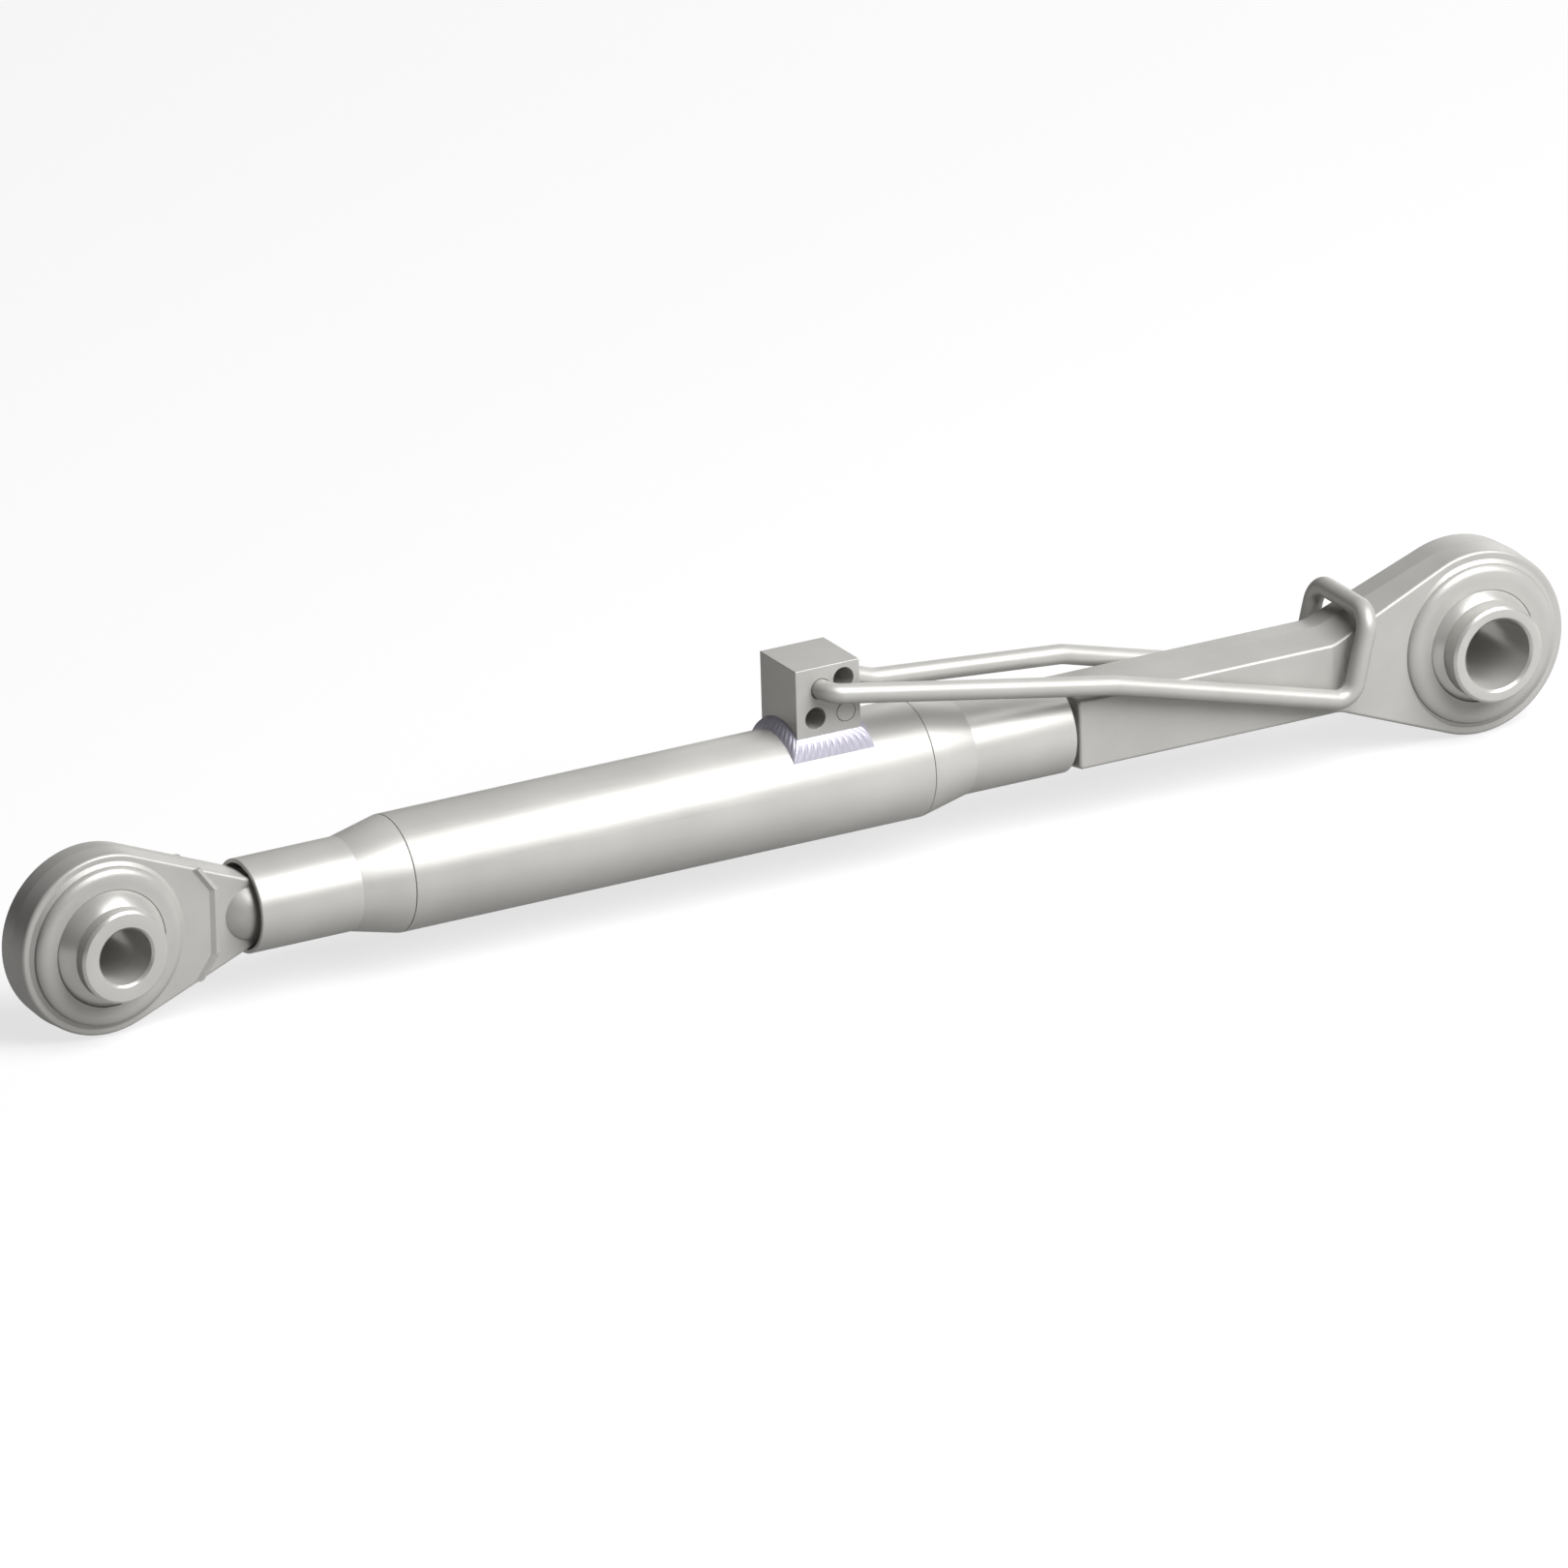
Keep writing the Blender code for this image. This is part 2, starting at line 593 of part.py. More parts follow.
def crossbar_place(heel, upright):
    """Point up the upright from the heel at which the crossbar's wire just clears the neck's ridge."""
    level = SHANK_HEIGHT / 2 + SHANK_RIDGE
    (bend_u, bend_z), (tangent_u, tangent_z) = eye_outline(
        RIGHT_EYE_RADIUS + EYE_DRAFT, [(NECK_FROM_BALL, level)], EYE_STEPS)[:2]
    along = Vector((bend_u - tangent_u, tangent_z - bend_z)).normalized()
    away = Vector((-along.y, along.x))
    start = Vector((BALL_SPAN - bend_u, bend_z))
    height = (heel - start).dot(away)
    return heel + upright * (BAIL_WIRE / 2 + BAIL_GAP - height) / upright.dot(away)


def locking_bail(finish):
    """Round wire bent into a bail: two ends in the block's hinge hole, two legs and a crossbar."""
    hinge_x, hinge_z = block_point(HINGE_HOLE)
    stop_x, stop_z = block_point(STOP_HOLE)
    wire = BAIL_WIRE / 2
    leg_y = SHANK_WIDTH / 2 + BAIL_GAP + wire
    stub_start = leg_y - BLOCK_SIZE / 2 + BAIL_STUB

    heel = Vector((BALL_SPAN - NECK_FROM_BALL + HEEL_PAST_NECK, -HEEL_DROP))
    kink = Vector((hinge_x + KINK_SHARE * (heel.x - hinge_x), KINK_HEIGHT))
    leg = (heel - kink).normalized()
    top = crossbar_place(heel, Vector((-leg.y, leg.x)))

    # The rear leg leaves the hinge just above the stop pin and then meets its straight run
    to_stop = math.hypot(stop_x - hinge_x, stop_z - hinge_z)
    fall_to_stop = math.atan2(hinge_z - stop_z, stop_x - hinge_x)
    clear = wire + STOP_SPIGOT / 2 + SEAT_GAP
    fall = math.tan(fall_to_stop - math.asin(clear / to_stop))
    rise = kink[1] + BAIL_REAR_SLOPE * (kink[0] - hinge_x) - hinge_z
    crank_x = hinge_x - rise / (fall - BAIL_REAR_SLOPE)
    crank = (crank_x, hinge_z - fall * (crank_x - hinge_x))

    corners = [
        (hinge_x, -leg_y + stub_start, hinge_z),
        (hinge_x, -leg_y, hinge_z),
        (kink[0], -leg_y, kink[1]),
        (heel[0], -leg_y, heel[1]),
        (top[0], -leg_y, top[1]),
        (top[0], leg_y, top[1]),
        (heel[0], leg_y, heel[1]),
        (kink[0], leg_y, kink[1]),
        (crank[0], leg_y, crank[1]),
        (hinge_x, leg_y, hinge_z),
        (hinge_x, leg_y - stub_start, hinge_z),
    ]
    end, elbow, bend = BAIL_END_RADIUS, BAIL_ELBOW_RADIUS, BAIL_KINK_RADIUS
    points = rounded_path(corners, [end, bend, elbow, elbow, elbow, elbow, bend, bend, end])

    curve = bpy.data.curves.new("locking_bail", "CURVE")
    curve.dimensions = "3D"
    curve.bevel_depth = wire
    curve.bevel_resolution = 4
    curve.use_fill_caps = True
    spline = curve.splines.new("POLY")
    spline.points.add(len(points) - 1)
    for target, point in zip(spline.points, points):
        target.co = (point.x - hinge_x, point.y, point.z - hinge_z, 1.0)
    spline.use_smooth = True
    curve.materials.append(finish)
    bail = bpy.data.objects.new("locking_bail", curve)
    bail.location = (hinge_x, 0.0, hinge_z)
    bpy.context.collection.objects.link(bail)
    return bail


def build():
    """Clear the scene and make every piece of the link."""
    for leftover in list(bpy.data.objects):
        bpy.data.objects.remove(leftover)

    forged = material("forged_steel", (0.52, 0.51, 0.49), 0.42, 0.6)
    barrel = material("drawn_steel", (0.58, 0.57, 0.55), 0.36, 0.6)
    machined = material("machined_steel", (0.62, 0.61, 0.59), 0.28, 0.8)
    wire = material("bail_wire", (0.50, 0.49, 0.47), 0.40, 0.6)
    bead = material("weld_metal", (0.66, 0.64, 0.72), 0.45, 0.5)

    barrel_tube(barrel)
    end_bush("left_end_bush", barrel, LEFT_MOUTH_FROM_BALL, 1)
    end_bush("right_end_bush", barrel, RIGHT_MOUTH, -1)
    bracket_block(forged)
    bracket_weld(bead)
    bail_stop_pin(machined)
    locking_bail(wire)

    left_eye(forged)
    socket_ring("left_socket_ring", machined, 0.0, LEFT_BALL_RADIUS, LEFT_LIP_WIDTH)
    ball("left_ball", machined, 0.0, LEFT_BORE, LEFT_BORE_CHAMFER, LEFT_BALL_WIDTH,
         LEFT_BALL_RADIUS, LEFT_BOSS_RADIUS)
    spindle_set("left", machined, forged, LEFT_SPINDLE_ROOT, 1, LEFT_MOUTH_FROM_BALL)

    right_eye(forged)
    socket_ring("right_socket_ring", machined, BALL_SPAN, RIGHT_BALL_RADIUS, RIGHT_LIP_WIDTH)
    ball("right_ball", machined, BALL_SPAN, RIGHT_BORE, RIGHT_BORE_CHAMFER, RIGHT_BALL_WIDTH,
         RIGHT_BALL_RADIUS, RIGHT_BOSS_RADIUS)
    spindle_set("right", machined, forged, RIGHT_MOUTH + SHANK_END_GAP - SEAT_GAP, -1, RIGHT_MOUTH)


build()
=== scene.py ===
"""Looks of a mechanical top link: turned, forged, drawn and welded steel on a pale studio floor."""

import math

import bmesh
import bpy
import numpy as np
from bpy.props import FloatProperty, FloatVectorProperty, IntProperty, PointerProperty
from mathutils import Matrix, Vector


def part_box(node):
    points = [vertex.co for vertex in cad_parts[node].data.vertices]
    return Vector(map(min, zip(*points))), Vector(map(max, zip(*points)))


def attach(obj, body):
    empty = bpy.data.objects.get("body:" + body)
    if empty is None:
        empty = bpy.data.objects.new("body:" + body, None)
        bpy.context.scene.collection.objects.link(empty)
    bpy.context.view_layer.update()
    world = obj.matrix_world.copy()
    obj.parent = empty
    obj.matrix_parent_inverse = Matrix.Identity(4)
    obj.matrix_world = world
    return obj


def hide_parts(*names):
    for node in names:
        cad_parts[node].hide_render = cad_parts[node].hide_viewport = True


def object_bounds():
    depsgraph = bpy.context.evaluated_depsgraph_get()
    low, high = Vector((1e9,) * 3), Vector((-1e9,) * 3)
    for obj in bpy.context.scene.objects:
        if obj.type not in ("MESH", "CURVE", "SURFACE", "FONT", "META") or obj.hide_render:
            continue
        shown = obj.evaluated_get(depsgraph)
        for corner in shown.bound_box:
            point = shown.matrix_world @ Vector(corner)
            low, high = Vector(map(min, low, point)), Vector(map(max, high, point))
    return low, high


bl_info = {
    "name": "Top Link Finishes",
    "version": (1, 0, 0),
    "blender": (4, 5, 0),
    "location": "3D View > Sidebar > Top Link",
    "description": "Dresses a turnbuckle top link with turned, forged and welded steel",
    "category": "Object",
}

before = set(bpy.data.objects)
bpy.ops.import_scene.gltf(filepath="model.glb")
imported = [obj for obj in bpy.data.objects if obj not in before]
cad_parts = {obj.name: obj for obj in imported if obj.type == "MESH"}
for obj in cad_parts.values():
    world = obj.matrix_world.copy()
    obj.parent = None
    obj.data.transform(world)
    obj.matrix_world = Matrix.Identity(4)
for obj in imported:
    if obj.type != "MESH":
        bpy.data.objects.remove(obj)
CAD_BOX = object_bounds()

MM = 0.001
TURN = 2 * math.pi


def box_low(node):
    """Lowest corner of a CAD node."""
    return np.array(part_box(node)[0])


def box_high(node):
    """Highest corner of a CAD node."""
    return np.array(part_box(node)[1])


def box_middle(node):
    """Centre of a CAD node's box."""
    return (box_low(node) + box_high(node)) / 2


def half_height(node):
    """Half the height of a CAD node, which is the radius of a ball or a tube."""
    return (box_high(node)[2] - box_low(node)[2]) / 2


# Distance between the balls, and clearances and small edges that several pieces share
BALL_SPAN = box_middle("right_ball")[0]
SEAT_GAP = 0.3 * MM
HAIRLINE = 0.05 * MM
SEAM_GAP = 0.001 * MM
SMALLEST_EDGE = 0.003 * MM

# Rounded corners: half the angle past which one counts as straight, and the most of a side it takes
STRAIGHT_HALF_ANGLE = math.radians(89.5)
SIDE_SHARE = 0.45

# Steps round a turned piece and round a tube, and the crease angle in degrees of a machined piece
SIDES = 160
TUBE_SIDES = 192
CREASE = 35.0

# Steps across a broken edge, and across one that shows
EDGE_STEPS = 3
SHOWN_EDGE_STEPS = 4


# Grids of points made into closed surfaces


def add_piece(name, points, faces, finish, crease=CREASE):
    """Mesh object at the origin, smooth up to the crease angle in degrees.

    points is an array of places and faces a list of arrays, each with one row of point numbers a face.
    """
    mesh = bpy.data.meshes.new(name)
    points = np.asarray(points, np.float32).reshape(-1, 3)
    mesh.vertices.add(len(points))
    mesh.vertices.foreach_set("co", points.ravel())
    loops = np.concatenate([rows.ravel() for rows in faces]).astype(np.int32)
    sizes = np.concatenate([np.full(len(rows), rows.shape[1]) for rows in faces])
    mesh.loops.add(len(loops))
    mesh.loops.foreach_set("vertex_index", loops)
    mesh.polygons.add(len(sizes))
    mesh.polygons.foreach_set("loop_start", (np.cumsum(sizes) - sizes).astype(np.int32))
    mesh.update(calc_edges=True)
    mesh.validate()
    mesh.shade_smooth()
    mesh.set_sharp_from_angle(angle=math.radians(crease))
    piece = bpy.data.objects.new(name, mesh)
    bpy.context.scene.collection.objects.link(piece)
    if finish:
        mesh.materials.append(finish)
    return piece


def grid_faces(rows, columns, wrap_rows, wrap_columns):
    """Quads between neighbours of a grid of points, closed on itself where asked."""
    i = np.arange(rows if wrap_rows else rows - 1)
    j = np.arange(columns if wrap_columns else columns - 1)
    i, j = np.meshgrid(i, j, indexing="ij")
    a = i * columns + j
    b = i * columns + (j + 1) % columns
    c = ((i + 1) % rows) * columns + (j + 1) % columns
    d = ((i + 1) % rows) * columns + j
    return np.stack([a, b, c, d], -1).reshape(-1, 4)


def capped(rings, first, last):
    """Points and faces of a row of rings, closed by a fan round a point at each end."""
    count, sides = rings.shape[:2]
    points = np.vstack([rings.reshape(-1, 3), first, last])
    around = np.arange(sides)
    ahead = (around + 1) % sides
    base = (count - 1) * sides
    start_fan = np.stack([np.full(sides, count * sides), ahead, around], -1)
    end_fan = np.stack([np.full(sides, count * sides + 1), base + around, base + ahead], -1)
    return points, [grid_faces(count, sides, False, True), start_fan, end_fan]


def round_corners(corners, radius, steps, closed=True):
    """Outline with each corner replaced by an arc that is tangent to both of its sides.

    radius is one size or one for each corner, and the arc shrinks where a side is short.
    """
    corners = np.asarray(corners, float)
    count = len(corners)
    radii = np.full(count, radius) if np.isscalar(radius) else np.array(radius, float)
    if not closed:
        radii[[0, -1]] = 0
    rounded = []
    for i in range(count):
        here = corners[i]
        back, ahead = corners[i - 1] - here, corners[(i + 1) % count] - here
        back_length, ahead_length = np.linalg.norm(back), np.linalg.norm(ahead)
        back, ahead = back / back_length, ahead / ahead_length
        half = math.acos(float(np.clip(back @ ahead, -1, 1))) / 2
        if radii[i] <= 0 or half > STRAIGHT_HALF_ANGLE:
            rounded.append(here[None])
            continue
        reach = min(radii[i] / math.tan(half), SIDE_SHARE * back_length, SIDE_SHARE * ahead_length)
        size = reach * math.tan(half)
        bisector = (back + ahead) / np.linalg.norm(back + ahead)
        middle = here + bisector * size / math.sin(half)
        first, last = here + back * reach - middle, here + ahead * reach - middle
        sweep = math.pi - 2 * half
        share = np.linspace(0, 1, steps + 1)[:, None]
        arc = (np.sin((1 - share) * sweep) * first + np.sin(share * sweep) * last) / math.sin(sweep)
        rounded.append(middle + arc)
    return np.vstack(rounded)


def arc_points(radius, start, stop, steps):
    """Points (radius cos a, radius sin a) for angles a from start to stop."""
    angle = np.linspace(start, stop, steps + 1)
    return np.stack([radius * np.cos(angle), radius * np.sin(angle)], -1)


def lathe(name, profile, axis, centre, finish, steps=SIDES, crease=CREASE):
    """Closed profile turned about X or Y: a point (along, radius) goes along the axis and round it."""
    profile = np.asarray(profile, float)
    angle = np.linspace(0, TURN, steps, endpoint=False)[:, None]
    along = np.broadcast_to(profile[None, :, 0], (steps, len(profile)))
    across, up = profile[None, :, 1] * np.cos(angle), profile[None, :, 1] * np.sin(angle)
    if axis == "X":
        points = np.stack([along, across, up], -1)
    else:
        points = np.stack([across, along, up], -1)
    points = points.reshape(-1, 3) + np.asarray(centre)
    return outward(add_piece(name, points, [grid_faces(steps, len(profile), True, True)], finish, crease))


def outward(piece):
    """Turn a closed piece's faces outwards if the volume that they bound comes out negative."""
    mesh = piece.data
    mesh.calc_loop_triangles()
    count = len(mesh.loop_triangles)
    corners = np.zeros(count * 3, np.int32)
    mesh.loop_triangles.foreach_get("vertices", corners)
    places = np.zeros(len(mesh.vertices) * 3)
    mesh.vertices.foreach_get("co", places)
    triangle = places.reshape(-1, 3)[corners.reshape(-1, 3)]
    volume = np.einsum("ij,ij->i", triangle[:, 0], np.cross(triangle[:, 1], triangle[:, 2])).sum()
    if volume < 0:
        mesh.flip_normals()
    return piece


def stitched(piece):
    """Merge a piece's doubled points along its seams and poles, and turn its faces outwards."""
    bm = bmesh.new()
    bm.from_mesh(piece.data)
    bmesh.ops.remove_doubles(bm, verts=bm.verts, dist=SEAM_GAP)
    bmesh.ops.recalc_face_normals(bm, faces=bm.faces)
    bm.to_mesh(piece.data)
    bm.free()
    return outward(piece)


def turned_solid(name, profile, axis, centre, finish, steps=SIDES):
    """Turned piece without a bore, whose profile starts and ends on the axis."""
    return stitched(lathe(name, profile, axis, centre, finish, steps))


def merged(piece, tools, crease=CREASE):
    """Join or cut tools on a piece with the exact solver and keep only the finished, cleaned mesh."""
    for tool, operation in tools:
        step = piece.modifiers.new(tool.name, "BOOLEAN")
        step.operation = operation
        step.solver = "EXACT"
        step.object = tool
    bpy.context.view_layer.update()
    graph = bpy.context.evaluated_depsgraph_get()
    mesh = bpy.data.meshes.new_from_object(piece.evaluated_get(graph))
    piece.modifiers.clear()
    old = piece.data
    piece.data = mesh
    bpy.data.meshes.remove(old)
    for tool, _ in tools:
        data = tool.data
        bpy.data.objects.remove(tool)
        bpy.data.meshes.remove(data)
    bm = bmesh.new()
    bm.from_mesh(mesh)
    bmesh.ops.remove_doubles(bm, verts=bm.verts, dist=SMALLEST_EDGE)
    bmesh.ops.dissolve_degenerate(bm, dist=SMALLEST_EDGE, edges=bm.edges)
    bm.to_mesh(mesh)
    bm.free()
    mesh.shade_smooth()
    mesh.set_sharp_from_angle(angle=math.radians(crease))
    return piece


# Finishes

# Rough steels: roughness, scale of the grain, its height, how it is scaled along X, Y and Z, mottling
GRAINS = {
    "tube": (0.38, 900.0, 0.012 * MM, (0.03, 1, 1), 0.05),
    "block": (0.38, 700.0, 0.015 * MM, (1, 1, 1), 0.05),
    "weld": (0.33, 500.0, 0.030 * MM, (1, 1, 1), 0.06),
    "wire": (0.40, 900.0, 0.010 * MM, (0.05, 1, 1), 0.05),
    "forging": (0.40, 520.0, 0.022 * MM, (1, 1, 1), 0.06),
    "collar": (0.42, 500.0, 0.020 * MM, (1, 1, 1), 0.05),
}
GRAIN_NOISE = (5.0, 0.6)
GRAIN_MOTTLES = (28.0, 4.0)
GRAIN_GLOSS = (-0.05, 0.07)

# Turned steels: roughness and the height of the lathe's lines
CUTS = {
    "ball": (0.30, 0.006 * MM),
    "socket": (0.36, 0.008 * MM),
    "bush": (0.38, 0.006 * MM),
    "pin": (0.34, 0.006 * MM),
    "thread": (0.32, 0.004 * MM),
}
CUT_NOISE = (2600.0, 2.0)
CUT_MOTTLES = (45.0, 3.0)
CUT_MOTTLING = 0.04
CUT_GLOSS = (-0.05, 0.05)

# Range in which a noise texture's values mostly lie, and the extra share of metal on bright steel
NOISE_RANGE = (0.3, 0.7)
BARE_SHINE = 0.15


def add_node(tree, kind, values=None, links=None, operation=None):
    """Shader node with the values and the links of its inputs, each as a dict by input."""
    node = tree.nodes.new("ShaderNode" + kind)
    if operation:
        node.operation = operation
    for key, value in (values or {}).items():
        node.inputs[key].default_value = value
    for key, source in (links or {}).items():
        tree.links.new(source, node.inputs[key])
    return node


def new_steel(name, metallic):
    """Material, its node tree and its object coordinates. All of its gloss is the metal's own."""
    finish = bpy.data.materials.new(name)
    finish.use_nodes = True
    tree = finish.node_tree
    shader = tree.nodes["Principled BSDF"]
    shader.inputs["Metallic"].default_value = metallic
    shader.inputs["Specular IOR Level"].default_value = 0.0
    return finish, tree, add_node(tree, "TexCoord").outputs["Object"]


def noise(tree, place, scale, detail, roughness=0.5):
    """Value of a noise texture at a place."""
    values = {"Scale": scale, "Detail": detail, "Roughness": roughness}
    return add_node(tree, "TexNoise", values, {"Vector": place}).outputs["Fac"]


def steel_surface(tree, colour, mottling, broad, fine, span, roughness, swing, relief):
    """Colour from a broad noise, roughness and bump from a fine one.

    mottling is the share by which the colour darkens and lightens. Over the span of the fine
    noise's values the roughness swings from its lowest to its highest, and the bump rises by relief.
    """
    tint = add_node(tree, "ValToRGB", {}, {"Fac": broad})
    dark, light = tint.color_ramp.elements
    dark.position, light.position = NOISE_RANGE
    dark.color = (*(c * (1 - mottling) for c in colour), 1)
    light.color = (*(min(1.0, c * (1 + mottling)) for c in colour), 1)
    rough = [roughness + change for change in swing]
    ends = {"From Min": span[0], "From Max": span[1], "To Min": rough[0], "To Max": rough[1]}
    gloss = add_node(tree, "MapRange", ends, {"Value": fine})
    bump = add_node(tree, "Bump", {"Strength": 1.0, "Distance": relief}, {"Height": fine})
    shader = tree.nodes["Principled BSDF"]
    tree.links.new(tint.outputs["Color"], shader.inputs["Base Color"])
    tree.links.new(gloss.outputs["Result"], shader.inputs["Roughness"])
    tree.links.new(bump.outputs["Normal"], shader.inputs["Normal"])


def steel(name, colour, metallic, grain):
    """Forged, drawn or welded steel with a fine grain, which a low scale draws out into streaks."""
    roughness, scale, relief, streaks, mottling = GRAINS[grain]
    finish, tree, place = new_steel(name, metallic)
    stretch = add_node(tree, "Mapping", {"Scale": streaks}, {"Vector": place})
    fine = noise(tree, stretch.outputs["Vector"], scale, *GRAIN_NOISE)
    broad = noise(tree, place, *GRAIN_MOTTLES)
    steel_surface(tree, colour, mottling, broad, fine, NOISE_RANGE, roughness, GRAIN_GLOSS, relief)
    return finish


def turned_steel(name, colour, metallic, cut, axis, centre):
    """Lathe-cut steel: fine lines that depend only on the distance along and from the turning axis."""
    roughness, relief = CUTS[cut]
    finish, tree, place = new_steel(name, metallic)
    away = tuple(-c for c in centre)
    shift = add_node(tree, "Mapping", {"Location": away}, {"Vector": place}).outputs["Vector"]
    square = (0, 1, 1) if axis == "X" else (1, 0, 1)
    across = add_node(tree, "VectorMath", {1: square}, {0: shift}, "MULTIPLY")
    radius = add_node(tree, "VectorMath", {}, {0: across.outputs["Vector"]}, "LENGTH")
    parts = add_node(tree, "SeparateXYZ", {}, {"Vector": shift})
    lines = add_node(tree, "CombineXYZ", {}, {"X": radius.outputs["Value"], "Y": parts.outputs[axis]})
    fine = noise(tree, lines.outputs["Vector"], *CUT_NOISE)
    broad = noise(tree, place, *CUT_MOTTLES)
    steel_surface(tree, colour, CUT_MOTTLING, broad, fine, (0, 1), roughness, CUT_GLOSS, relief)
    return finish


# Settings


def shade(name, description, default):
    """Colour that a user may change."""
    return FloatVectorProperty(name=name, description=description, subtype="COLOR", size=3, min=0, max=1,
                               default=default)


class TopLinkFinish(bpy.types.PropertyGroup):
    """Colours and surface finish."""

    forged: shade("Forged steel", "Colour of the eyes and the block", (0.500, 0.492, 0.472))
    drawn: shade("Barrel", "Colour of the barrel and its ends", (0.560, 0.552, 0.530))
    machined: shade("Machined steel", "Colour of the balls and spindles", (0.560, 0.552, 0.530))
    wire: shade("Bail wire", "Colour of the bail", (0.500, 0.492, 0.472))
    weld: shade("Weld metal", "Colour of the fillet weld", (0.540, 0.522, 0.610))
    metallic: FloatProperty(name="Metallic", description="Share of metal in every steel", min=0, max=1,
                            default=0.30)


class TopLinkDetail(bpy.types.PropertyGroup):
    """Sizes of the fine forms."""

    edge: FloatProperty(name="Edge break", description="Radius of a broken machined edge", unit="LENGTH",
                        min=0, default=0.35 * MM)
    pitch: FloatProperty(name="Thread pitch", description="Distance between threads of a spindle",
                         unit="LENGTH", min=0.5 * MM, default=3.0 * MM)
    ripples: IntProperty(name="Weld ripples", description="Ripples along one side of the weld", min=1,
                         default=12)
    wire_sides: IntProperty(name="Wire sides", description="Facets round the bail's wire", min=8, default=40)


class TopLinkStage(bpy.types.PropertyGroup):
    """Camera, floor and lamps."""

    lens: FloatProperty(name="Lens", description="Focal length in millimetres", min=20, default=1500)
    width: FloatProperty(name="View width", description="Width of the view at the aim", unit="LENGTH",
                         min=0.1, default=0.6864)
    aim: FloatVectorProperty(name="Aim", description="Point in the middle of the view", subtype="XYZ",
                             size=3, default=(0.3431, 0.0004, 0.0004))
    key: FloatProperty(name="Key lamp", description="Power of the main lamp in watts", min=0, default=172.0)
    fill: FloatProperty(name="Fill lamp", description="Power of the rear lamp in watts", min=0, default=10.0)
    world: FloatProperty(name="World", description="Strength of the even light", min=0, default=0.08)
    floor: shade("Floor", "Colour of the floor as a source of bounced light", (0.12, 0.12, 0.12))
    paper: FloatProperty(name="Paper", description="Share of plain white in the floor as the camera sees it",
                         min=0, max=1, default=0.72)


# Turned balls and their sockets

# Each side's bore and its chamfer, the boss's radius and the width across the socket's lips
BALLS = {
    "left": (25.7 * MM, 1.1 * MM, 21.3 * MM, 30.0 * MM),
    "right": (32.2 * MM, 1.2 * MM, 22.3 * MM, 35.0 * MM),
}
BOSS_CHAMFER = 1.2 * MM
SOCKET_WALL = 5.7 * MM
SOCKET_LIP_ROLL = 5.6 * MM
SOCKET_LIP_RISE = 3.2 * MM
SPHERE_STEPS = 64
SEAT_STEPS = 40
ROLL_STEPS = 12


def mirrored(profile):
    """Profile for the other side of the middle plane, in reverse order."""
    profile = np.asarray(profile, float)
    return profile[::-1] * (-1, 1)


def socket_profile(ball_radius, lip_width):
    """Section of a socket ring: a round seat, two flat lips and two shoulders, each a quarter ellipse."""
    inner, outer, lip = ball_radius + SEAT_GAP, ball_radius + SOCKET_WALL, lip_width / 2
    lip_radius = math.sqrt(inner ** 2 - lip ** 2)
    angle = math.atan2(lip_radius, lip)
    seat = arc_points(inner, math.pi - angle, angle, SEAT_STEPS)
    turn = np.linspace(0, math.pi / 2, ROLL_STEPS + 1)
    rise, fall = SOCKET_LIP_RISE * (1 - np.sin(turn)), SOCKET_LIP_ROLL * (1 - np.cos(turn))
    shoulder = np.stack([lip - rise, outer - fall], -1)
    return np.vstack([seat, shoulder[::-1], mirrored(shoulder[::-1])])


def ball_profile(bore, chamfer, boss, half, ball_radius, edge):
    """Section of a pierced ball: bore, chamfers, faces, bosses and the sphere between them."""
    neck = math.sqrt(ball_radius ** 2 - boss ** 2)
    angle = math.atan2(boss, neck)
    side = round_corners([
        (0.0, bore / 2), (half - chamfer, bore / 2), (half, bore / 2 + chamfer),
        (half, boss - BOSS_CHAMFER), (half - BOSS_CHAMFER, boss), (neck, boss),
    ], [0, edge, edge, edge, edge, 0], EDGE_STEPS, closed=False)
    sphere = arc_points(ball_radius, angle, math.pi - angle, SPHERE_STEPS)
    return np.vstack([side[1:-1], sphere, mirrored(side[1:-1])])


class TOPLINK_OT_balls(bpy.types.Operator):
    """Turned balls and the socket rings rolled over them"""

    bl_idname = "toplink.balls"
    bl_label = "Balls and socket rings"

    def execute(self, context):
        look = context.scene.top_link_finish
        edge = context.scene.top_link_detail.edge
        bright = look.metallic + BARE_SHINE
        for word, (bore, chamfer, boss, lips) in BALLS.items():
            centre = box_middle(word + "_ball")
            reach = (box_high(word + "_ball") - box_low(word + "_ball")) / 2
            finish = turned_steel(word + "_ball_steel", look.machined, bright, "ball", "Y", centre)
            profile = ball_profile(bore, chamfer, boss, reach[1], reach[2], edge)
            ball = lathe(word + "_turned_ball", profile, "Y", centre, finish)
            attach(ball, word + "_ball_body")
            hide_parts(word + "_ball")

            finish = turned_steel(word + "_socket_steel", look.forged, look.metallic, "socket", "Y", centre)
            ring = lathe(word + "_rolled_socket", socket_profile(reach[2], lips), "Y", centre, finish)
            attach(ring, word + "_eye_body")
            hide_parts(word + "_socket_ring")
        return {"FINISHED"}


# Barrel

END_DIAMETER = 42.4 * MM
END_LENGTH = 50.4 * MM
CONE_LENGTH = 23.3 * MM
SPIGOT_LENGTH = 12.0 * MM
TUBE_WALL = 5.0 * MM
MOUTH_DEPTH = 12.0 * MM
MOUTH_WALL = 1.9 * MM
SPINDLE_DIAMETER = 32.0 * MM
BUSH_CREASE = 25.0


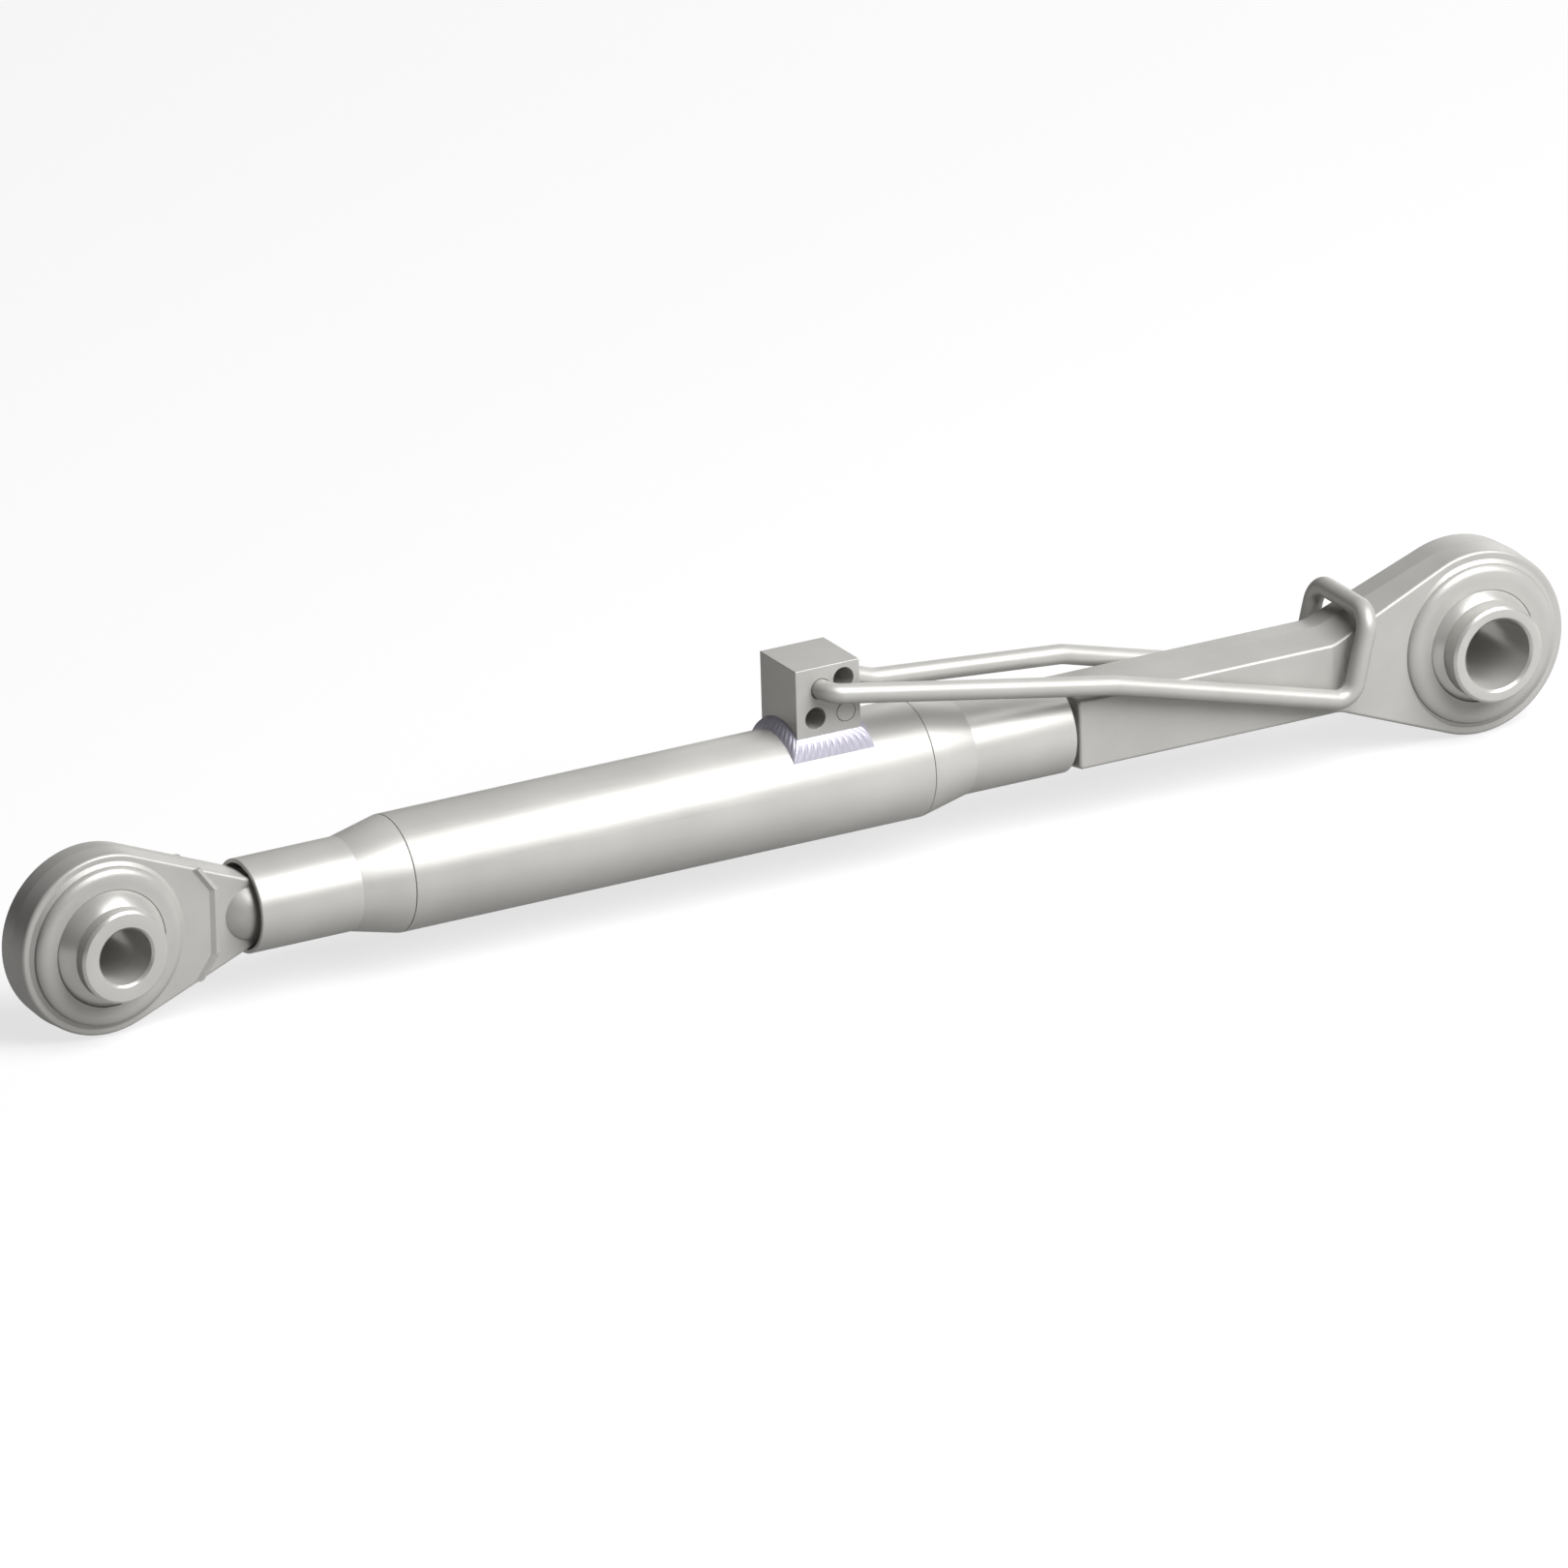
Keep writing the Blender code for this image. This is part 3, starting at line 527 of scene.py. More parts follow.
def bush_profile(tube_radius, edge):
    """Section of a barrel end, measured inwards from its mouth."""
    bore = SPINDLE_DIAMETER / 2 + SEAT_GAP
    outer, mouth = END_DIAMETER / 2, END_DIAMETER / 2 - MOUTH_WALL
    cone_end = END_LENGTH + CONE_LENGTH
    spigot = tube_radius - TUBE_WALL - SEAT_GAP
    corners = [
        (0.0, mouth), (0.0, outer), (END_LENGTH, outer), (cone_end, tube_radius), (cone_end, spigot),
        (cone_end + SPIGOT_LENGTH, spigot), (cone_end + SPIGOT_LENGTH, bore),
        (MOUTH_DEPTH + mouth - bore, bore), (MOUTH_DEPTH, mouth),
    ]
    return round_corners(corners, [edge] + [2 * edge] * 2 + [edge] * 6, SHOWN_EDGE_STEPS)


class TOPLINK_OT_barrel(bpy.types.Operator):
    """Drawn tube and its two turned ends"""

    bl_idname = "toplink.barrel"
    bl_label = "Barrel"

    def execute(self, context):
        look = context.scene.top_link_finish
        edge = context.scene.top_link_detail.edge
        left = box_low("barrel_tube")[0]
        radius = half_height("barrel_tube")
        drawn = steel("drawn_tube_steel", look.drawn, look.metallic, "tube")
        length = box_high("barrel_tube")[0] - left
        inner = radius - TUBE_WALL
        section = round_corners([(0.0, inner), (0.0, radius), (length, radius), (length, inner)], edge / 2,
                                EDGE_STEPS)
        tube = lathe("drawn_tube", section, "X", (left, 0, 0), drawn, TUBE_SIDES)
        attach(tube, "barrel")
        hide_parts("barrel_tube")

        profile = bush_profile(radius, edge)
        for word, side, mouth in (("left", 1, box_low("left_end_bush")[0]),
                                  ("right", -1, box_high("right_end_bush")[0])):
            finish = turned_steel(word + "_bush_steel", look.drawn, look.metallic, "bush", "X", (0, 0, 0))
            bush = lathe(word + "_turned_end", profile * (side, 1), "X", (mouth, 0, 0), finish, TUBE_SIDES,
                         BUSH_CREASE)
            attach(bush, "barrel")
            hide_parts(word + "_end_bush")
        return {"FINISHED"}


# Block, weld and stop pin

# Holes: X from the block's left face, or its right face where negative, and depth below its top.
# Each hole's cutter reaches past the block by CHAMFERS_PAST times its chamfer.
HINGE_HOLE = (12.6 * MM, 10.3 * MM)
STOP_HOLE = (-7.2 * MM, 23.3 * MM)
UPPER_SPARE_HOLE = (-8.1 * MM, 7.6 * MM)
LOWER_SPARE_HOLE = (9.5 * MM, 23.5 * MM)
BAIL_WIRE = 9.0 * MM
HOLE_GAP = 0.3 * MM
SPARE_HOLE = 10.0 * MM
HOLE_SIDES = 96
CHAMFERS_PAST = 4

# Block: the share of a side at each end that rounds its edge, and its foot as a share of the tube's radius
EDGE_BAND = 0.02
EDGE_BAND_STEPS = 4
FOOT_SHARE = 0.3

# Stop pin: the thin rear end that carries the bail's rear leg, and the round at its root
STOP_SPIGOT = 6.5 * MM
STOP_ROOT_RADIUS = 0.1 * MM
ROD_SIDES = 64

# Weld: its legs, how far and in which direction it bulges, and its ripples' part, bend and slant
WELD_LEG_OUT = 4.2 * MM
WELD_LEG_UP = 5.2 * MM
WELD_GAP = 0.1 * MM
WELD_SWELL = 0.7 * MM
SWELL_OUT = 0.6
SWELL_UP = 0.8
RIPPLE_SHARE = 0.6
RIPPLE_CRESCENT = 0.35
RIPPLE_SLANT = 0.25
RIPPLE_STEPS = 16
WELD_ROWS = 15
WELD_CREASE = 60.0


def block_place(hole):
    """X and Z of one of the block's holes."""
    face = box_low("bracket_block") if hole[0] > 0 else box_high("bracket_block")
    return face[0] + hole[0], box_high("bracket_block")[2] - hole[1]


def rounded_block(name, low, high, edge, finish):
    """Box with rounded edges: a dense cube's points are pushed out to a distance edge from an inner box."""
    band = np.linspace(0, 1, EDGE_BAND_STEPS + 1) * EDGE_BAND
    side = np.concatenate([band, [0.5], 1 - band[::-1]])
    count = len(side)
    u, v = np.meshgrid(side, side, indexing="ij")
    flat = grid_faces(count, count, False, False)
    points, faces = [], []
    for axis in range(3):
        for end in (0.0, 1.0):
            place = np.zeros((count, count, 3))
            place[..., axis] = end
            place[..., (axis + 1) % 3] = u
            place[..., (axis + 2) % 3] = v
            faces.append((flat[:, ::-1] if end else flat) + len(points) * count ** 2)
            points.append(place.reshape(-1, 3))
    points = low + np.vstack(points) * (high - low)
    inner = np.clip(points, low + edge, high - edge)
    away = points - inner
    points = inner + away / np.linalg.norm(away, axis=1)[:, None] * edge
    return stitched(add_piece(name, points, faces, finish))


def plug(name, centre, radius, half, chamfer):
    """Cutter for a hole, wider past both of its mouths, so that each mouth gets a chamfer."""
    far = half + CHAMFERS_PAST * chamfer
    wide = radius + (CHAMFERS_PAST + 1) * chamfer
    profile = [(-far, 0.0), (-far, wide), (chamfer - half, radius), (half - chamfer, radius), (far, wide),
               (far, 0.0)]
    return turned_solid(name, profile, "Y", centre, None, HOLE_SIDES)


def weld_bead(name, radius, half_block, ripples, finish):
    """Fillet round the block's foot.

    Along the perimeter s the section runs in t from the barrel up to the block's face and bulges by
    a sine of t. The ripples on it are the size of a sine in s. Its phase shifts with the square of t's
    distance from the middle, which bends them into crescents, and with t itself, which slants them.
    """
    inner, outer = half_block + WELD_GAP, half_block + WELD_LEG_OUT
    along = ripples * RIPPLE_STEPS
    share = np.arange(along) / along
    corners = np.array([(-1, -1), (1, -1), (1, 1), (-1, 1)], float)
    ahead = np.roll(corners, -1, axis=0)
    ring = (corners[:, None] + (ahead - corners)[:, None] * share[None, :, None]).reshape(-1, 2)
    s, t = np.meshgrid(np.arange(len(ring)) / along, np.linspace(0, 1, WELD_ROWS), indexing="ij")
    reach = outer + (inner - outer) * t
    out_x, out_y = ring[:, :1], ring[:, 1:]
    x, y = out_x * reach, out_y * reach
    z = np.sqrt(radius ** 2 - y ** 2) + HAIRLINE + WELD_LEG_UP * t
    wave = np.abs(np.sin(math.pi * (s * ripples + RIPPLE_CRESCENT * (2 * t - 1) ** 2 + RIPPLE_SLANT * t)))
    swell = WELD_SWELL * np.sin(math.pi * t) * (1 - RIPPLE_SHARE + RIPPLE_SHARE * wave)
    place = np.stack([x + out_x * swell * SWELL_OUT, y + out_y * swell * SWELL_OUT, z + swell * SWELL_UP], -1)
    under = np.stack([x[:, -1:], y[:, -1:], z[:, -1:] - WELD_LEG_UP], -1)
    points = np.concatenate([place, under], 1)
    faces = grid_faces(len(ring), WELD_ROWS + 1, True, True)
    return outward(add_piece(name, points, [faces], finish, WELD_CREASE))


class TOPLINK_OT_bracket(bpy.types.Operator):
    """Bored block, its rippled weld and the stop pin"""

    bl_idname = "toplink.bracket"
    bl_label = "Bracket"

    def execute(self, context):
        look = context.scene.top_link_finish
        detail = context.scene.top_link_detail
        low, high = box_low("bracket_block"), box_high("bracket_block")
        tube = half_height("barrel_tube")
        finish = steel("block_steel", look.forged, look.metallic, "block")
        foot = np.array([low[0], low[1], FOOT_SHARE * tube])
        block = rounded_block("bored_block", foot, high, detail.edge, finish)
        half = (high[1] - low[1]) / 2
        centre_x = box_middle("bracket_block")[0]
        tools = []
        for word, hole, radius in (("hinge", HINGE_HOLE, BAIL_WIRE / 2 + HOLE_GAP),
                                   ("stop", STOP_HOLE, BAIL_WIRE / 2 + HOLE_GAP / 2),
                                   ("upper", UPPER_SPARE_HOLE, SPARE_HOLE / 2),
                                   ("lower", LOWER_SPARE_HOLE, SPARE_HOLE / 2)):
            x, z = block_place(hole)
            tools.append((plug(word + "_hole", (x, 0, z), radius, half, detail.edge / 2), "DIFFERENCE"))
        reach, sunk = 2 * half, tube + HAIRLINE
        saddle = [(-reach, 0.0), (-reach, sunk), (reach, sunk), (reach, 0.0)]
        cutter = turned_solid("saddle", saddle, "X", (centre_x, 0, 0), None, TUBE_SIDES)
        tools.append((cutter, "DIFFERENCE"))
        merged(block, tools)
        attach(block, "barrel")
        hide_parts("bracket_block")

        bead_finish = steel("weld_bead_steel", look.weld, look.metallic, "weld")
        bead = weld_bead("rippled_weld", tube, half, detail.ripples, bead_finish)
        bead.data.transform(Matrix.Translation((centre_x, 0, 0)))
        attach(bead, "barrel")
        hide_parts("bracket_weld")

        x, z = block_place(STOP_HOLE)
        front, rear = box_low("bail_stop_pin")[1], box_high("bail_stop_pin")[1]
        wire, spigot = BAIL_WIRE / 2, STOP_SPIGOT / 2
        section = round_corners([
            (front, 0.0), (front, wire), (half, wire), (half, spigot), (rear, spigot), (rear, 0.0),
        ], [0, detail.edge, detail.edge, STOP_ROOT_RADIUS, detail.edge, 0], SHOWN_EDGE_STEPS, closed=False)
        pin_finish = turned_steel("stop_pin_steel", look.wire, look.metallic, "pin", "Y", (x, 0, z))
        pin = turned_solid("turned_stop_pin", section, "Y", (x, 0, z), pin_finish, ROD_SIDES)
        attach(pin, "barrel")
        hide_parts("bail_stop_pin")
        return {"FINISHED"}


# Bail

SHANK_WIDTH = 36.0 * MM
BAIL_GAP = 1.0 * MM

# Heel, the lower corner at the crossbar: past the neck's bend, and below the link's axis
HEEL_PAST_NECK = 2.5 * MM
HEEL_DROP = 9.5 * MM

# Kink in each leg: its share of the way from the hinge to the heel, its height above the axis, and the
# rear leg's slope from there to the crank over the stop pin
KINK_SHARE = 0.545
KINK_HEIGHT = 22.4 * MM
BAIL_REAR_SLOPE = 0.087

# Reach of each end into the block, and the bends' radii
BAIL_STUB = 14.0 * MM
BAIL_END_RADIUS = 6.6 * MM
BAIL_ELBOW_RADIUS = 9.0 * MM
BAIL_KINK_RADIUS = 25.0 * MM
BEND_STEPS = 16
WIRE_CHAMFER = 0.5 * MM


def crossbar_place(heel, upright):
    """Point up the upright from the heel at which the crossbar's wire just clears the neck's ridge."""
    neck = np.array([(NECK_FROM_BALL, SHANK_HEIGHT / 2 + SHANK_RIDGE)])
    bend, tangent = eye_outline(RIGHT_EYE_RADIUS + EYE_DRAFT, neck)[:2]
    along = (tangent - bend) * (-1, 1)
    along /= np.linalg.norm(along)
    away = np.array([-along[1], along[0]])
    height = (heel - (BALL_SPAN - bend[0], bend[1])) @ away
    return heel + upright * (BAIL_WIRE / 2 + BAIL_GAP - height) / (upright @ away)


def bail_path():
    """Centreline of the bail, from its front end in the hinge hole round to its rear end."""
    hinge_x, hinge_z = block_place(HINGE_HOLE)
    stop_x, stop_z = block_place(STOP_HOLE)
    wire = BAIL_WIRE / 2
    half_block = box_high("bracket_block")[1]
    leg_y = SHANK_WIDTH / 2 + BAIL_GAP + wire
    stub_start = leg_y - half_block + BAIL_STUB
    heel = np.array([BALL_SPAN - NECK_FROM_BALL + HEEL_PAST_NECK, -HEEL_DROP])
    kink = np.array([hinge_x + KINK_SHARE * (heel[0] - hinge_x), KINK_HEIGHT])
    leg = (heel - kink) / np.linalg.norm(heel - kink)
    top = crossbar_place(heel, np.array([-leg[1], leg[0]]))
    to_stop = math.hypot(stop_x - hinge_x, stop_z - hinge_z)
    fall_to_stop = math.atan2(hinge_z - stop_z, stop_x - hinge_x)
    clear = wire + STOP_SPIGOT / 2 + SEAT_GAP
    fall = math.tan(fall_to_stop - math.asin(clear / to_stop))
    rise = kink[1] + BAIL_REAR_SLOPE * (kink[0] - hinge_x) - hinge_z
    crank_x = hinge_x - rise / (fall - BAIL_REAR_SLOPE)
    crank_z = hinge_z - fall * (crank_x - hinge_x)
    corners = [
        (hinge_x, -leg_y + stub_start, hinge_z), (hinge_x, -leg_y, hinge_z), (kink[0], -leg_y, kink[1]),
        (heel[0], -leg_y, heel[1]), (top[0], -leg_y, top[1]), (top[0], leg_y, top[1]),
        (heel[0], leg_y, heel[1]), (kink[0], leg_y, kink[1]), (crank_x, leg_y, crank_z),
        (hinge_x, leg_y, hinge_z), (hinge_x, leg_y - stub_start, hinge_z),
    ]
    end, elbow, bend = BAIL_END_RADIUS, BAIL_ELBOW_RADIUS, BAIL_KINK_RADIUS
    radii = [0, end, bend, elbow, elbow, elbow, elbow, bend, bend, end, 0]
    return round_corners(corners, radii, BEND_STEPS, closed=False)


def round_wire(name, path, radius, sides, chamfer, finish):
    """Round bar along a path.

    The first cross direction is carried along the path by the smallest turn from one step to the
    next, and each section is a circle round the path. Both ends are chamfered and closed.
    """
    ahead = np.gradient(path, axis=0)
    ahead /= np.linalg.norm(ahead, axis=1)[:, None]
    across = np.zeros_like(path)
    across[0] = np.cross(ahead[0], (0.0, 0.0, 1.0))
    for i in range(1, len(path)):
        carried = across[i - 1] - ahead[i] * (across[i - 1] @ ahead[i])
        across[i] = carried / np.linalg.norm(carried)
    up = np.cross(ahead, across)
    angle = np.linspace(0, TURN, sides, endpoint=False)[None, :, None]
    circle = across[:, None] * np.cos(angle) + up[:, None] * np.sin(angle)
    share = np.array([0.0, 0.5, 1.0])[:, None, None]
    near = path[0] + ahead[0] * chamfer * share + circle[0] * (radius - chamfer * (1 - share))
    far = path[-1] - ahead[-1] * chamfer * (1 - share) + circle[-1] * (radius - chamfer * share)
    rings = np.concatenate([near, path[1:-1, None] + circle[1:-1] * radius, far])
    return outward(add_piece(name, *capped(rings, path[0], path[-1]), finish))


class TOPLINK_OT_bail(bpy.types.Operator):
    """Bent wire bail"""

    bl_idname = "toplink.bail"
    bl_label = "Bail"

    def execute(self, context):
        look = context.scene.top_link_finish
        sides = context.scene.top_link_detail.wire_sides
        finish = steel("bail_wire_steel", look.wire, look.metallic, "wire")
        bail = round_wire("bent_bail", bail_path(), BAIL_WIRE / 2, sides, WIRE_CHAMFER, finish)
        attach(bail, "bail")
        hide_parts("locking_bail")
        return {"FINISHED"}


# Forged eyes

FORGING_FILLET = 1.6 * MM
FILLET_STEPS = 24
EYE_DRAFT = 0.6 * MM
EYE_STEPS = 96
FORGED_CREASE = 4.5

# Raised land round the socket
LAND_RISE = 1.2 * MM
LAND_RAMP = 1.7 * MM
LAND_WALL = 0.4 * MM
LAND_EDGE = 0.15 * MM
LAND_OVERLAP = 0.01 * MM

LEFT_EYE_RADIUS = 41.6 * MM
RIGHT_EYE_RADIUS = 42.6 * MM
LEFT_EYE_THICKNESS = 20.4 * MM
RIGHT_EYE_THICKNESS = 26.6 * MM
LEFT_PLATE_HEIGHT = 32.0 * MM
SHANK_HEIGHT = 32.4 * MM
SHANK_RIDGE = 2.8 * MM
NECK_FROM_BALL = 73.0 * MM
SHANK_END_STEPS = 8
NECK_BEND_RADIUS = 20.0 * MM
NECK_STEPS = 12
CHEEK_START = 76.0 * MM
CHEEK_END = 55.0 * MM

# Chevron bead: a straight middle and two arms that sweep back
CHEVRON_FROM_BALL = 53.5 * MM
CHEVRON_SWEEP = 8.2 * MM
CHEVRON_SLOPE = 1.37
CHEVRON_STRAIGHT = 29.6 * MM
CHEVRON_WIDTH = 4.4 * MM
CHEVRON_RISE = 1.3 * MM
CHEVRON_RIDGE_RADIUS = 0.5 * MM

# Spindle's nose: its dome's length, and the step by which its root starts inside the plate
NOSE_LENGTH = 12.4 * MM
NOSE_STEPS = 32
NOSE_SIDES = 128
NOSE_ROOT = 0.5 * MM
NOSE_ROOT_STEP = 1.0 * MM


def eye_outline(radius, neck):
    """Upper half of an eye's outline: the neck's straight sides, then the round from its tangent point."""
    u, z = neck[-1]
    start = math.atan2(z, u) + math.acos(radius / math.hypot(u, z))
    round_side = arc_points(radius, start, math.pi, EYE_STEPS)
    corners = np.vstack([neck, round_side[:1]])
    if len(neck) > 1:
        bend = round_corners(corners[-3:], NECK_BEND_RADIUS, NECK_STEPS, closed=False)
        corners = np.vstack([neck[:-2], bend])
    return np.vstack([corners, round_side[1:]])


def forged_blank(name, finish, centre_x, side, radius, neck_at, half_thickness):
    """Forging as a stack of outlines across its thickness.

    From the face to the parting line the outline grows by a quarter round, the fillet, and then by
    the draft in a straight line. The same stack mirrored makes the other half. parting is how far a
    layer is on its way along the draft.
    """
    turn = np.linspace(0, math.pi / 2, FILLET_STEPS + 1)
    offsets = list(-FORGING_FILLET * (1 - np.sin(turn))) + [0.0, 0.0]
    insets = list(FORGING_FILLET * (1 - np.cos(turn))) + [None, None]
    partings = [0.0] * len(turn) + [0.5, 1.0]
    layers = list(zip(offsets, insets, partings))
    rows = []
    for face, stack in ((-1, layers), (1, layers[:-1][::-1])):
        for offset, inset, parting in stack:
            upper = eye_outline(radius + offset + parting * EYE_DRAFT, neck_at(offset, parting))
            outline = np.vstack([upper, upper[:-1][::-1] * (1, -1)])
            width = half_thickness(outline[:, 0])
            if inset is None:
                depth = (width - FORGING_FILLET) * (1 - parting)
            else:
                depth = width - inset
            rows.append(np.stack([centre_x + side * outline[:, 0], face * depth, outline[:, 1]], -1))
    rows = np.array(rows)
    count = rows.shape[1]
    half = count // 2
    i = np.arange(half - 1)
    cap = np.stack([i, i + 1, count - 2 - i, count - 1 - i], -1)
    tip = np.array([[half - 1, half, half + 1]])
    base = (len(rows) - 1) * count
    faces = [grid_faces(len(rows), count, False, True), cap, tip, cap + base, tip + base]
    return stitched(add_piece(name, rows, faces, finish))


def end_rounding(u, end):
    """How far the shank's faces have turned in at a place u near its end, by a quarter round."""
    share = np.clip((u - end + FORGING_FILLET) / FORGING_FILLET, 0, 1)
    return FORGING_FILLET * (1 - np.sqrt(1 - share ** 2))


def eye_tools(word, centre_x, thickness):
    """Land round the socket to join, and the bore to cut."""
    bore = half_height(word + "_ball") + SOCKET_WALL + HAIRLINE
    half = thickness / 2
    top = half + LAND_RISE
    land = bore + LAND_WALL
    sunk = half - LAND_OVERLAP
    section = round_corners([
        (-top, bore - LAND_RAMP), (-top, land), (-sunk, land + LAND_RAMP),
        (sunk, land + LAND_RAMP), (top, land), (top, bore - LAND_RAMP),
    ], [0, LAND_EDGE, 0, 0, LAND_EDGE, 0], SHOWN_EDGE_STEPS)
    raised = lathe(word + "_land", section, "Y", (centre_x, 0, 0), None)
    hole = [(-2 * top, 0.0), (-2 * top, bore), (2 * top, bore), (2 * top, 0.0)]
    cutter = turned_solid(word + "_bore", hole, "Y", (centre_x, 0, 0), None)
    return [(raised, "UNION"), (cutter, "DIFFERENCE")]


def chevron(name, face_y, side):
    """Roof-shaped bead: a five-cornered section carried along four points of a chevron."""
    half, width = CHEVRON_STRAIGHT / 2, CHEVRON_WIDTH / 2
    back = CHEVRON_FROM_BALL - CHEVRON_SWEEP
    far = half + CHEVRON_SWEEP * CHEVRON_SLOPE
    path = np.array([(back, far), (CHEVRON_FROM_BALL, half), (CHEVRON_FROM_BALL, -half), (back, -far)])
    section = round_corners([
        (-width, -CHEVRON_RISE), (-width, 0.0), (0.0, CHEVRON_RISE), (width, 0.0), (width, -CHEVRON_RISE),
    ], [0, 0, CHEVRON_RIDGE_RADIUS, 0, 0], SHOWN_EDGE_STEPS)
    count = len(section)
    x = path[:, :1] + section[None, :, 0]
    y = np.broadcast_to(face_y + side * section[None, :, 1], x.shape)
    z = np.broadcast_to(path[:, 1:], x.shape)
    near = np.arange(count)[None]
    faces = [grid_faces(len(path), count, False, True), near, near[:, ::-1] + (len(path) - 1) * count]
    return stitched(add_piece(name, np.stack([x, y, z], -1), faces, None))


def spindle_nose(end, half):
    """Domed root of the spindle: its outline on the plate's face is half an ellipse."""
    spindle = SPINDLE_DIAMETER / 2
    start = box_low("left_end_bush")[0] - NOSE_LENGTH
    share = 1 - np.cos(np.linspace(0, math.pi / 2, NOSE_STEPS + 1))
    height = np.sqrt(np.clip(1 - (1 - share) ** 2, 0, None)) * math.sqrt(spindle ** 2 - half ** 2)
    curve = np.stack([start + NOSE_LENGTH * share, np.hypot(half, height)], -1)
    root = start - NOSE_ROOT
    profile = np.vstack([[(root, 0.0), (root, half - NOSE_ROOT_STEP)], curve, [(end, spindle), (end, 0.0)]])
    return turned_solid("spindle_nose", profile, "X", (0, 0, 0), None, NOSE_SIDES)


class TOPLINK_OT_left_eye(bpy.types.Operator):
    """Flat forged eye with a chevron bead and the spindle's domed nose"""

    bl_idname = "toplink.left_eye"
    bl_label = "Left eye"

    def execute(self, context):
        look = context.scene.top_link_finish
        finish = steel("left_forging_steel", look.forged, look.metallic, "forging")
        half = LEFT_EYE_THICKNESS / 2
        end = box_high("left_eye")[0]
        mouth = box_low("left_end_bush")[0]
        mouth_half = LEFT_PLATE_HEIGHT / 2
        tangent = math.atan2(mouth_half, mouth) + math.acos(LEFT_EYE_RADIUS / math.hypot(mouth, mouth_half))
        end_half = mouth_half - (end - mouth) / math.tan(tangent)

        def neck(offset, parting):
            return np.array([(end, end_half + offset + parting * EYE_DRAFT)])

        blank = forged_blank("left_forging", finish, 0.0, 1, LEFT_EYE_RADIUS, neck,
                             lambda u: np.full_like(u, half))
        tools = [(chevron("front_chevron", -half, -1), "UNION"), (chevron("rear_chevron", half, 1), "UNION"),
                 (spindle_nose(end, half), "UNION")]
        tools += eye_tools("left", 0.0, LEFT_EYE_THICKNESS)
        merged(blank, tools, FORGED_CREASE)
        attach(blank, "left_eye_body")
        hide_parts("left_eye")
        return {"FINISHED"}


class TOPLINK_OT_right_eye(bpy.types.Operator):
    """Forged eye with its long shank"""

    bl_idname = "toplink.right_eye"
    bl_label = "Right eye"

    def execute(self, context):
        look = context.scene.top_link_finish
        finish = steel("right_forging_steel", look.forged, look.metallic, "forging")
        end = BALL_SPAN - box_low("right_eye")[0]

        def neck(offset, parting):
            level = SHANK_HEIGHT / 2 + offset + parting * SHANK_RIDGE
            turn = np.linspace(0, math.pi / 2, SHANK_END_STEPS + 1)
            u = end - FORGING_FILLET * (1 - np.cos(turn))
            tip = np.stack([u, level - end_rounding(u, end)], -1)
            return np.vstack([tip, (NECK_FROM_BALL, level)])

        def half_thickness(u):
            share = np.clip((u - CHEEK_END) / (CHEEK_START - CHEEK_END), 0, 1)
            widened = RIGHT_EYE_THICKNESS / 2 + share * (SHANK_WIDTH - RIGHT_EYE_THICKNESS) / 2
            return widened - end_rounding(u, end)

        blank = forged_blank("right_forging", finish, BALL_SPAN, -1, RIGHT_EYE_RADIUS, neck, half_thickness)
        merged(blank, eye_tools("right", BALL_SPAN, RIGHT_EYE_THICKNESS), FORGED_CREASE)
        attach(blank, "right_eye_body")
        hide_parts("right_eye")
        return {"FINISHED"}


# Spindles

# Thin end under the collar: its share of the collar's radius, how far it starts inside the rod, its edge
COLLAR_SEAT_SHARE = 4 / 7
NECK_TUCK = 0.1 * MM
NECK_EDGE = 0.8 * MM

# Threads: depth, flat share of a pitch on the crest and in the root, plain length and tip's lead
THREAD_DEPTH = 1.3 * MM
THREAD_FLAT = 0.12
THREAD_START = 12.0 * MM
THREAD_LEAD = 1.5 * MM
THREAD_STEPS = 10
THREAD_SIDES = 72
THREAD_CREASE = 50.0


def threaded_spindle(name, start, end, side, pitch, hand, finish):
    """Rod with a helical thread.

    The radius at an angle a and a place x is the crest radius less the depth of a flattened triangle
    wave in x / pitch minus hand times a / full turn. The wave starts over a pitch past the plain root.
    Over the lead at the tip it fades out, and the rod narrows there by the same depth.
    """
    length = abs(end - start)
    x = np.linspace(0, length, int(length / pitch * THREAD_STEPS) + 1)
    angle = np.linspace(0, TURN, THREAD_SIDES, endpoint=False)
    x, angle = np.meshgrid(x, angle, indexing="ij")
    wave = np.abs(((x / pitch - hand * angle / TURN) % 1.0) * 2 - 1)
    wave = np.clip((wave - THREAD_FLAT) / (1 - 2 * THREAD_FLAT), 0, 1)
    lead = np.clip((length - x) / THREAD_LEAD, 0, 1)
    depth = wave * np.clip((x - THREAD_START) / pitch, 0, 1) * lead + 1 - lead
    radius = SPINDLE_DIAMETER / 2 - THREAD_DEPTH * depth
    rings = np.stack([start + side * x, radius * np.cos(angle), radius * np.sin(angle)], -1)
    points, faces = capped(rings, (start, 0, 0), (start + side * length, 0, 0))
    return outward(add_piece(name, points, faces, finish, THREAD_CREASE))


